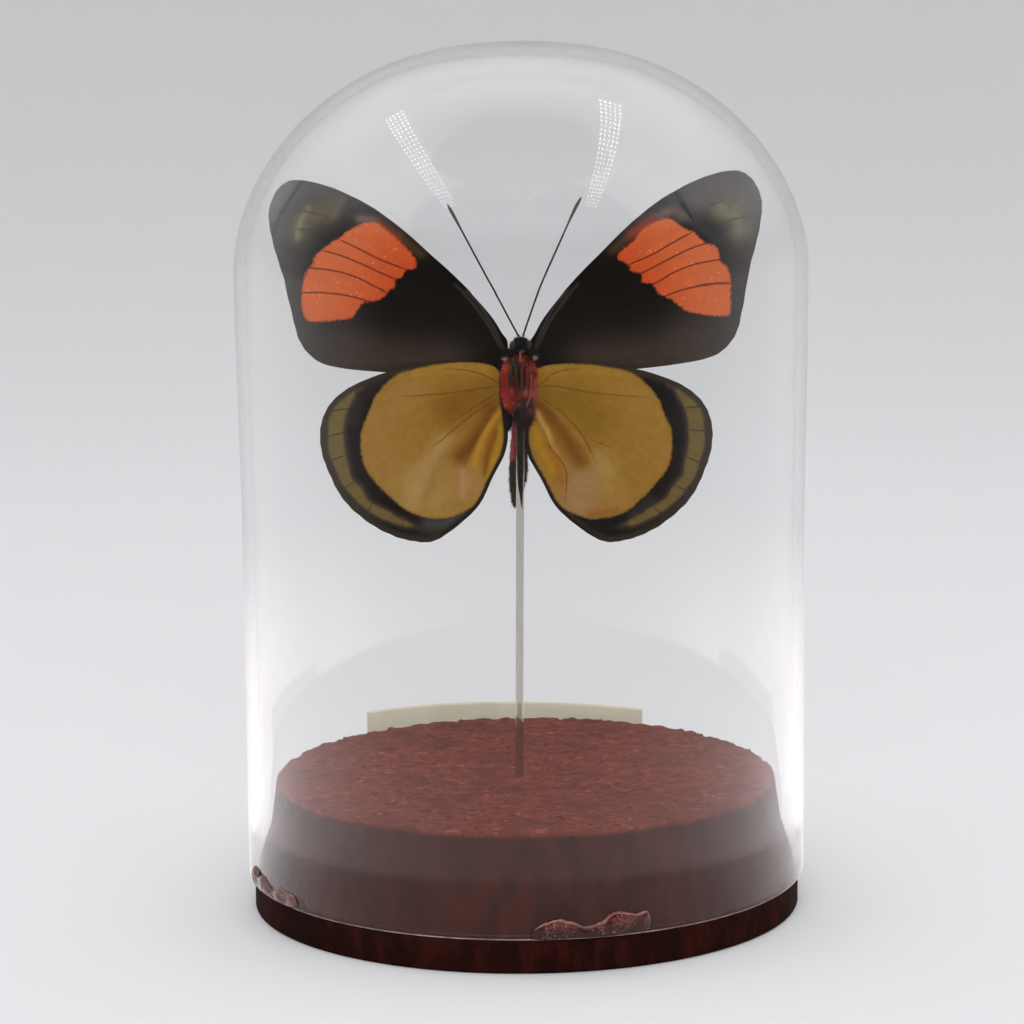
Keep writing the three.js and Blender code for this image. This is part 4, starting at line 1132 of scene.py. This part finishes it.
body = {
    "thoraxShares": [0, 0.1, 0.28, 0.5, 0.7, 0.87, 0.96, 1],
    "thoraxWidths": [0.9, 1.95, 2.5, 2.65, 2.55, 2.15, 1.5, 0.6],
    "thoraxSpan": (-4.45, 5.7), "thoraxFront": -1.8, "depth": 0.88,
    "abdomenPath": [(0, -0.9, -4.8), (-0.1, -0.8, -9.0), (-0.3, 0.1, -16.0), (-1.05, 1.2, -21.9)],
    "abdomenShares": [0, 0.05, 0.2, 0.42, 0.6, 0.72, 0.84, 0.93, 1],
    "abdomenWidths": [0.9, 1.15, 1.2, 1.4, 1.5, 1.35, 0.95, 0.55, 0.2],
    "rings": 8, "swell": 0.055, "sides": 48,
    "thoraxHair": {"count": 6000, "length": 0.85, "width": 0.05, "stand": 0.7, "lay": 0.8, "stray": 0.45},
    "abdomenHair": {"count": 3600, "length": 0.6, "width": 0.035, "stand": 0.4, "lay": 0.9, "stray": 0.3},
    "headHair": {"count": 900, "length": 0.6, "width": 0.035, "stand": 0.8, "lay": 0.5, "stray": 0.4},
    "shoulders": [((-1.9, -1.9, 5.9), (1.0, 0.9, 1.0)), ((2.4, -1.9, 5.9), (0.9, 0.9, 1.0)),
                  ((-2.0, -1.1, -5.6), (0.8, 0.7, 2.3)), ((0.3, -1.2, 6.0), (1.7, 0.9, 1.0)),
                  ((-3.0, -0.5, 3.4), (0.8, 0.6, 1.5)), ((3.0, -0.5, 3.6), (0.7, 0.6, 1.3))],
    "thoraxGround": (134, 48, 36),
    # the small pink and orange spots among these are painted highlights on the fur
    "thoraxSpots": [
        (-2.0, 3.4, 0.9, (206, 84, 52)), (-2.2, 1.2, 1.0, (176, 58, 48)), (-1.9, -1.1, 1.0, (222, 66, 62)),
        (-2.2, -2.9, 1.1, (206, 74, 58)), (1.5, 3.4, 0.5, (190, 104, 56)), (2.5, 3.6, 0.7, (196, 78, 58)),
        (1.8, 0.7, 0.9, (172, 98, 94)), (1.5, -0.8, 1.1, (214, 128, 118)), (2.8, 1.2, 0.7, (222, 92, 66)),
        (2.5, -1.2, 0.7, (214, 96, 80)), (2.0, -3.3, 0.9, (214, 120, 112)), (-1.1, 2.0, 0.35, (206, 104, 84)),
        (-1.3, -0.2, 0.4, (226, 96, 84)), (-1.5, 3.9, 0.35, (214, 110, 74)),
        (-1.2, -2.6, 0.35, (196, 96, 84)), (0.6, -1.6, 0.7, (120, 44, 36)),
        (0.4, 4.9, 0.4, (200, 118, 76)), (1.3, 5.0, 0.5, (84, 24, 22)),
        (-0.5, 4.6, 0.9, (56, 48, 36)), (-0.3, 3.4, 0.95, (58, 50, 38)), (0.0, 2.3, 0.95, (52, 46, 36)),
        (0.4, 1.2, 0.85, (48, 44, 36)), (0.6, 0.2, 0.6, (56, 46, 36)), (-1.6, -4.2, 0.6, (90, 44, 36)),
        (-1.9, -5.2, 0.5, (150, 128, 120)), (-2.0, -7.0, 1.4, (34, 28, 24))],
    "hump": ((0.8, -3.2, -4.2), (1.5, 1.25, 2.7)), "humpGround": (46, 38, 34),
    "humpSpots": [(-0.4, -2.7, 0.5, (120, 112, 106)), (1.4, -2.5, 0.5, (96, 88, 84)),
                  (2.2, -4.0, 0.7, (120, 70, 64))],
    "shoulderGround": (30, 25, 21),
    "shoulderSpots": [(-2.3, 5.0, 0.35, (230, 224, 214)), (2.8, 5.2, 0.35, (190, 184, 176))],
    "abdomenGround": (62, 50, 40),
    "abdomenSpots": [*((-1.45, -down, 0.6, (176, 74, 76)) for down in (6.6, 7.8, 9.0, 10.2, 11.4, 12.4)),
                     (-0.3, -20, 1.6, (70, 60, 52))],
    "headGround": (26, 22, 20),
    # the first head spot, pale grey on the palps, is a painted highlight
    "headSpots": [(0.6, 6.6, 0.35, (110, 108, 104)), (0.2, 5.6, 0.5, (110, 70, 50))],
}


def inBody(x, y, z):
    return insect["x"] + x, y, insect["z"] + z


def ball(centre, radii, segments=32, ringCount=20):
    clearSelection()
    bpy.ops.mesh.primitive_uv_sphere_add(segments=segments, ring_count=ringCount, radius=mm,
                                         location=tuple(v * mm for v in inBody(*centre)))
    piece = bpy.context.object
    piece.scale = radii
    bpy.ops.object.transform_apply(location=True, rotation=True, scale=True)
    return piece


# Colours that fade into each other by how near a place is to each spot: (out, up, reach, colour).
def blended(spots, ground):
    def tones(root):
        total = np.tile(np.array(tint(*ground)[:3]), (len(root), 1))
        for out, up, reach, colour in spots:
            away = (root[:, 0] - insect["x"] - out) ** 2 + (root[:, 2] - insect["z"] - up) ** 2
            near = np.exp(-away / reach ** 2)[:, None]
            total = total * (1 - near) + np.array(tint(*colour)[:3]) * near
        return total
    return tones


def paintTone(pieces, tones):
    for piece in pieces:
        places = corners(piece) / mm
        setValues(piece, "tone", np.hstack([np.clip(tones(places), 0, 1), np.ones((len(places), 1))]))


def furFinish(name, roughness=0.85):
    finish = Finish(name, {"Roughness": roughness, "Specular IOR Level": 0.12, "Sheen Weight": 0.03})
    tone = finish.attribute("tone", "Color")
    fine = finish.noise(0.3, detail=3)
    colour = finish.over(tone, (0.45, 0.36, 0.34, 1), fine, 0.35, 0.7, 0.5, "MULTIPLY")
    finish.painted(colour, fine, 0.08, 0.7)
    return finish


# Hair on the thorax points down and away from its middle.
def downAndOut(root):
    away = np.stack([root[:, 0] - insect["x"], 0 * root[:, 0] - 0.2, -1.2 + 0 * root[:, 0]], 1)
    return away / np.linalg.norm(away, axis=1)[:, None]


def makeThorax():
    low, high = body["thoraxSpan"]
    rings = []
    for share in np.linspace(0, 1, 36):
        wide = float(np.interp(share, body["thoraxShares"], body["thoraxWidths"]))
        place = inBody(0, body["thoraxFront"], low + (high - low) * share)
        rings.append((*place, wide, wide * body["depth"]))
    trunk = lofted(rings, body["sides"])
    spots = corners(trunk) / mm
    middle = [insect["x"], body["thoraxFront"]]
    spots[:, :2] += (spots[:, :2] - middle) * 0.05 * ripple(spots, 2.6, 5)[:, None]
    moveCorners(trunk, spots * mm)
    hump = ball(*body["hump"], 40, 28)
    roughened(hump, 0.08, 1.3, 9)
    shoulders = [ball(place, size, 24, 16) for place, size in body["shoulders"]]
    for shoulder in shoulders:
        roughened(shoulder, 0.08, 0.9, 13)
    trunkTones = blended(body["thoraxSpots"], body["thoraxGround"])
    humpTones = blended(body["humpSpots"], body["humpGround"])
    shoulderTones = blended(body["shoulderSpots"], body["shoulderGround"])
    paintTone([trunk], trunkTones)
    paintTone([hump], humpTones)
    paintTone(shoulders, shoulderTones)
    hair = body["thoraxHair"]
    fur = haired(trunk, hair, trunkTones, downAndOut, 11)
    humpFur = haired(hump, dict(hair, count=900, length=0.8), humpTones, downAndOut, 12)
    hair = dict(hair, count=360, length=0.6)
    furs = [haired(item, hair, shoulderTones, downAndOut, 14) for item in shoulders]
    piece = joined([trunk, hump, *shoulders, fur, humpFur, *furs])
    settle(piece, "furryThorax", [furFinish("bodyFur")], ["thorax"])


def makeAbdomen():
    path = evenly(curved(body["abdomenPath"], 16), 97)
    rings = []
    for share, (x, y, z) in zip(np.linspace(0, 1, 97), path):
        wide = float(np.interp(share, body["abdomenShares"], body["abdomenWidths"]))
        swell = 1 + body["swell"] * math.sin((share * body["rings"]) % 1 * math.pi) if share < 0.97 else 1
        rings.append((*inBody(x, y, z), wide * swell, wide * swell * body["depth"]))
    piece = lofted(rings, body["sides"])
    roughened(piece, 0.05, 1.6, 21, (1, 1, 0))
    tones = blended(body["abdomenSpots"], body["abdomenGround"])
    paintTone([piece], tones)
    fur = haired(piece, body["abdomenHair"], tones, (0.0, -0.1, -1.0), 23)
    piece = joined([piece, fur])
    settle(piece, "ringedAbdomen", [furFinish("abdomenScales")], ["abdomen"])


head = {
    "middle": (0.4, -2.6, 7.45), "size": (1.45, 1.4, 1.35), "eyeSize": (0.8, 0.85, 0.95),
    "eyeOut": 1.25, "eyeFront": -2.8, "eyeDark": tint(20, 17, 16), "eyeLight": tint(56, 52, 50),
    "palp": [(0.45, -3.5, 6.95), (0.5, -4.6, 7.45), (0.5, -5.3, 8.35)], "palpWidths": [0.42, 0.36, 0.16],
}


def makeHead():
    x, _, z = head["middle"]
    pieces = [ball(head["middle"], head["size"])]
    for side in sideNames:
        path = curved([(x + side * out, y, up) for out, y, up in head["palp"]], 8)
        radii = np.interp(np.linspace(0, 1, len(path)), [0, 0.6, 1], head["palpWidths"])
        pieces.append(tubed([inBody(*place) for place in path], radii))
    tones = blended(body["headSpots"], body["headGround"])
    paintTone(pieces, tones)
    skull, *palps = pieces
    hair, up = body["headHair"], (0.0, -0.4, 0.9)
    hairs = [haired(skull, hair, tones, up, 31)]
    hairs += [haired(palp, dict(hair, count=220, length=0.5), tones, up, 33) for palp in palps]
    settle(joined(pieces + hairs), "furryHead", [furFinish("headHair")], ["head"])
    eyes = [ball((x + side * head["eyeOut"], head["eyeFront"], z), head["eyeSize"]) for side in sideNames]
    finish = Finish("compoundEyes", {"Roughness": 0.3})
    colour = finish.over(head["eyeDark"], head["eyeLight"], finish.noise(0.9, detail=2), 0.35, 0.7)
    finish.painted(colour, finish.cells(0.16), 0.05, 0.8)
    settle(joined(eyes), "compoundEyes", [finish])


def hornFinish(name, dark, light, ringSize=0.55, gloss=0.5):
    finish = Finish(name, {"Roughness": 0.5, "Specular IOR Level": gloss})
    rings = (finish.attribute("along") * (2 * math.pi / ringSize)).wave()
    mottle = finish.noise(0.6, detail=3)
    colour = finish.over(tint(*dark), tint(*light), mottle, 0.35, 0.7)
    finish.painted(finish.over(colour, tint(*light), rings, 0.2, 0.9, 0.35), rings * 0.4 + mottle, 0.05, 0.8)
    return finish


# Sets each corner's distance along a path, in mm.
def measureAlong(piece, path):
    spots = corners(piece) / mm
    path = np.array(path)
    run = np.concatenate([[0], np.cumsum(np.linalg.norm(np.diff(path, axis=0), axis=1))])
    setValues(piece, "along", run[np.argmin(np.linalg.norm(spots[:, None] - path[None], axis=2), axis=1)])


feelers = {
    "left": [(0, 9.1), (-1.7, 12.3), (-3.2, 15.2), (-5.5, 19.5), (-9.2, 26.6), (-11.4, 30.8), (-12.3, 32.4)],
    "right": [(0.8, 9.2), (1.7, 11.8), (3.1, 15.7), (4.6, 19.4), (6.5, 23.6), (9.7, 30.6), (11.2, 33.4)],
    "shares": [0, 0.02, 0.8, 0.88, 0.93, 0.97, 1], "widths": [0.24, 0.17, 0.17, 0.27, 0.31, 0.27, 0.12],
    "front": (-2.8, -2.0), "rings": 62, "dark": (24, 20, 18), "light": (50, 43, 38),
}


def makeFeelers():
    finish = hornFinish("feelerHorn", feelers["dark"], feelers["light"])
    for side in ("left", "right"):
        line = evenly(curved(feelers[side], 12), 180)
        share = np.linspace(0, 1, len(line))
        front = feelers["front"][0] + (feelers["front"][1] - feelers["front"][0]) * share
        path = [inBody(x, y, z) for (x, z), y in zip(line, front)]
        radii = np.interp(share, feelers["shares"], feelers["widths"])
        piece = tubed(path, radii * (1 + 0.07 * np.cos(share * 2 * math.pi * feelers["rings"])))
        measureAlong(piece, path)
        settle(piece, "antenna" + side.capitalize(), [finish], ["antenna_" + side])


tongue = {
    "root": [(0.4, -4.2, 6.35), (0.3, -4.45, 6.4)], "middle": (0.25, -5.5, 5.75), "turns": 1.6,
    "coil": (0.95, 0.33), "widths": (0.16, 0.09), "dark": (112, 56, 40), "light": (160, 92, 66),
}


def makeTongue():
    x, y, z = tongue["middle"]
    turns = np.linspace(0, tongue["turns"] * 2 * math.pi, 120)
    path = list(tongue["root"])
    for turn, reach in zip(turns, np.linspace(*tongue["coil"], 120)):
        path.append((x, y + reach * math.cos(turn), z + reach * math.sin(turn)))
    path = [inBody(*place) for place in evenly(curved(path, 3), 220)]
    piece = tubed(path, np.linspace(*tongue["widths"], len(path)))
    measureAlong(piece, path)
    finish = hornFinish("tongueHorn", tongue["dark"], tongue["light"], 0.3)
    settle(piece, "coiledTongue", [finish], ["proboscis"])


legs = {
    "mid": [(1.5, -4.5, 0.6), (1.4, -4.75, 3.2), (1.1, -5.0, 4.4), (0.55, -5.05, 3.8), (0.45, -5.0, 1.4),
            (0.4, -4.95, -1.2)],
    "hind": [(2.05, -3.95, 2.6), (2.1, -4.0, 0.6), (1.85, -4.25, -1.4), (1.35, -4.85, -3.2)],
    "shares": [0, 0.08, 0.3, 0.36, 0.6, 1], "widths": [0.22, 0.34, 0.28, 0.3, 0.22, 0.12], "joints": 9,
    "midLeft": ((40, 33, 24), (62, 52, 38)), "midRight": ((74, 30, 24), (98, 40, 34)),
    "hindLeft": ((112, 34, 28), (134, 44, 38)), "hindRight": ((110, 48, 42), (136, 66, 60)),
    "spines": {"count": 260, "length": 0.34, "width": 0.022, "stand": 0.9, "lay": 0.6, "stray": 0.3},
}


def makeLegs():
    spine = furFinish("legSpines", 0.6)
    for pair in ("mid", "hind"):
        line = evenly(curved(legs[pair], 10), 110)
        share = np.linspace(0, 1, len(line))
        radii = np.interp(share, legs["shares"], legs["widths"])
        radii = radii * (1 + 0.06 * np.cos(share * 2 * math.pi * legs["joints"]))
        for side, label in sideNames.items():
            path = [inBody(side * x, y, z) for x, y, z in line]
            piece = tubed(path, radii)
            measureAlong(piece, path)
            dark, light = legs[pair + label.capitalize()]
            which = pair.capitalize() + label.capitalize()
            spines = haired(piece, legs["spines"], blended([], dark), (0.0, 0.0, -1.0), 41)
            settle(spines, "legSpines" + which, [spine])
            finish = hornFinish("legHorn" + which, dark, light, 0.7, 0.2)
            settle(piece, "leg" + which, [finish], [f"leg_{pair}_{label}"])


# ---- data label and dried glue

label = {
    "from": -38.0, "to": 27.6, "bottom": 6.6, "height": 19.0, "radius": 50.12, "thickness": 0.2, "slope": 1.1,
    "gap": 0.06, "curl": 1.2, "paper": tint(222, 216, 192), "stain": tint(196, 184, 150),
    "fibre": tint(232, 227, 210),
}


def makeLabel():
    clearSelection()
    bpy.ops.mesh.primitive_grid_add(x_subdivisions=110, y_subdivisions=40, size=1)
    piece = bpy.context.object
    share = corners(piece)[:, :2] + 0.5
    angle = np.radians(label["from"] + (label["to"] - label["from"]) * share[:, 0])
    curl = np.clip(np.abs(share - 0.5) * 2 - 0.86, 0, 1).max(axis=1) * 2.2
    ring = label["radius"] + label["gap"] + 0.05 * ripple(share * 60, 13, 51) + curl ** 2 * label["curl"]
    x = ring * np.sin(angle)
    z = label["bottom"] + label["height"] * share[:, 1] - math.tan(math.radians(label["slope"])) * x
    z += 0.10 * ripple(share * 50, 9, 52)
    moveCorners(piece, np.stack([x, ring * np.cos(angle), z], 1) * mm)
    faceTowards(piece, (0, 1, 0))
    applied(piece, "SOLIDIFY", thickness=label["thickness"] * mm, offset=1)
    finish = Finish("labelPaper", {"Roughness": 0.85, "Specular IOR Level": 0.2})
    fibres = finish.noise(0.5, detail=4, roughness=0.65, twist=1.5)
    colour = finish.over(label["paper"], label["stain"], finish.noise(9, detail=3), 0.45, 0.75, 0.4)
    finish.painted(finish.over(colour, label["fibre"], fibres, 0.3, 0.75, 0.35), fibres, 0.06, 0.6)
    settle(piece, "dataLabel", [finish], ["data_label"])


# outlines in mm: along the glass from the bead's middle, and up from the table
glue = {
    "radius": 50.05, "gap": 0.04, "bulge": 0.5, "skin": 0.1, "middle": (0, 7.6),
    "gloss": {"Roughness": 0.15, "Coat Weight": 0.3},
    "front": {
        "from": 0.2, "to": 24.5, "node": "glue_bead_front", "see": 0.0,
        "ground": tint(52, 22, 20), "patches": tint(88, 42, 38), "strandsAndGlints": tint(148, 104, 98),
        "outline": [
            (-10.5, 7.3), (-9.6, 8.5), (-7.6, 9.4), (-5.4, 9.9), (-4.2, 9.5), (-2.9, 9.2), (-1.2, 8.4),
            (0.4, 8.6), (2.1, 9.3), (3.3, 10.3), (4.6, 10.6), (6.4, 10.2), (8.2, 9.9), (9.9, 10.2),
            (10.6, 8.8), (10.4, 6.9), (7.0, 6.5), (2.0, 6.3), (-4.0, 6.4), (-8.4, 6.3), (-10.2, 6.5)]},
    "left": {
        "from": -76.0, "to": -52.5, "node": "glue_bead_left", "see": 0.75,
        "ground": tint(112, 76, 70), "patches": tint(160, 128, 120), "strandsAndGlints": tint(84, 48, 44),
        "outline": [
            (-10.2, 8.2), (-9.6, 9.6), (-8.2, 9.9), (-6.6, 9.0), (-5.4, 8.8), (-3.8, 9.5), (-2.0, 9.2),
            (-0.6, 8.4), (1.2, 8.0), (2.8, 8.7), (4.6, 9.2), (6.4, 8.8), (8.0, 8.9), (9.4, 8.4),
            (10.2, 7.2), (9.0, 6.5), (4.0, 6.4), (-2.0, 6.4), (-7.0, 6.5), (-9.6, 7.0)]},
}


def makeGlue(key):
    plan = glue[key]
    outline = curved(plan["outline"], 5, closed=True)
    piece, flat = fanned(outline, glue["middle"], 150, 24)
    inside = distanceTo(outline, flat)
    swell = glue["bulge"] * (1 - np.exp(-inside / 0.45)) * (1 + 0.5 * ripple(flat, 3.2, 61))
    middle = math.radians((plan["from"] + plan["to"]) / 2)
    angle = middle + flat[:, 0] / dome["radius"]
    ring = glue["radius"] + glue["gap"] + swell
    moveCorners(piece, np.stack([ring * np.sin(angle), -ring * np.cos(angle), flat[:, 1]], 1) * mm)
    setValues(piece, "inside", inside)
    setValues(piece, "height", flat[:, 1])
    faceTowards(piece, (math.sin(middle), -math.cos(middle), 0))
    applied(piece, "SOLIDIFY", thickness=glue["skin"] * mm, offset=-0.5)
    finish = Finish("driedGlue" + key.capitalize(), glue["gloss"])
    broad = finish.noise(2.6, detail=2, twist=0.8)
    fine = finish.noise(1.3, detail=2, twist=1.6)
    high = finish.step(finish.attribute("height"), 7.6, 8.8)
    # on the front bead the pale edge line and threads are painted highlights along its top and ridges; on the
    # left bead they are dark strands
    edge = finish.step((finish.attribute("inside") - 0.3 + (fine - 0.5) * 0.5).size(), 0.16, 0.04) * high
    strandsAndGlints = finish.step((fine - 0.5).size(), 0.022, 0.006) * finish.step(broad, 0.42, 0.6)
    strandsAndGlints = strandsAndGlints.most(edge)
    colour = finish.over(plan["ground"], plan["patches"], broad, 0.42, 0.62, high)
    finish.painted(finish.mix(strandsAndGlints * 0.75, colour, plan["strandsAndGlints"]), broad + fine * 0.5, 0.3, 0.6)
    cover = strandsAndGlints.most(finish.step(broad, 0.62, 0.4))
    cover = cover.most(finish.step(finish.attribute("inside"), 0.2, 0.05))
    finish.put("Alpha", cover * plan["see"] + (1 - plan["see"]))
    settle(piece, "driedGlue" + key.capitalize(), [finish], [plan["node"]])


# ---- everything in turn

placeCamera()
layFloor()
lightScene()
print("studio ready")
makeDome()
print("glass dome made")
makeCork()
print("cork base made")
makeRod()
makeWings()
print("rod and wings made")
makeThorax()
makeAbdomen()
makeHead()
makeFeelers()
makeTongue()
makeLegs()
print("insect made")
makeLabel()
makeGlue("front")
makeGlue("left")
print("label and glue made")
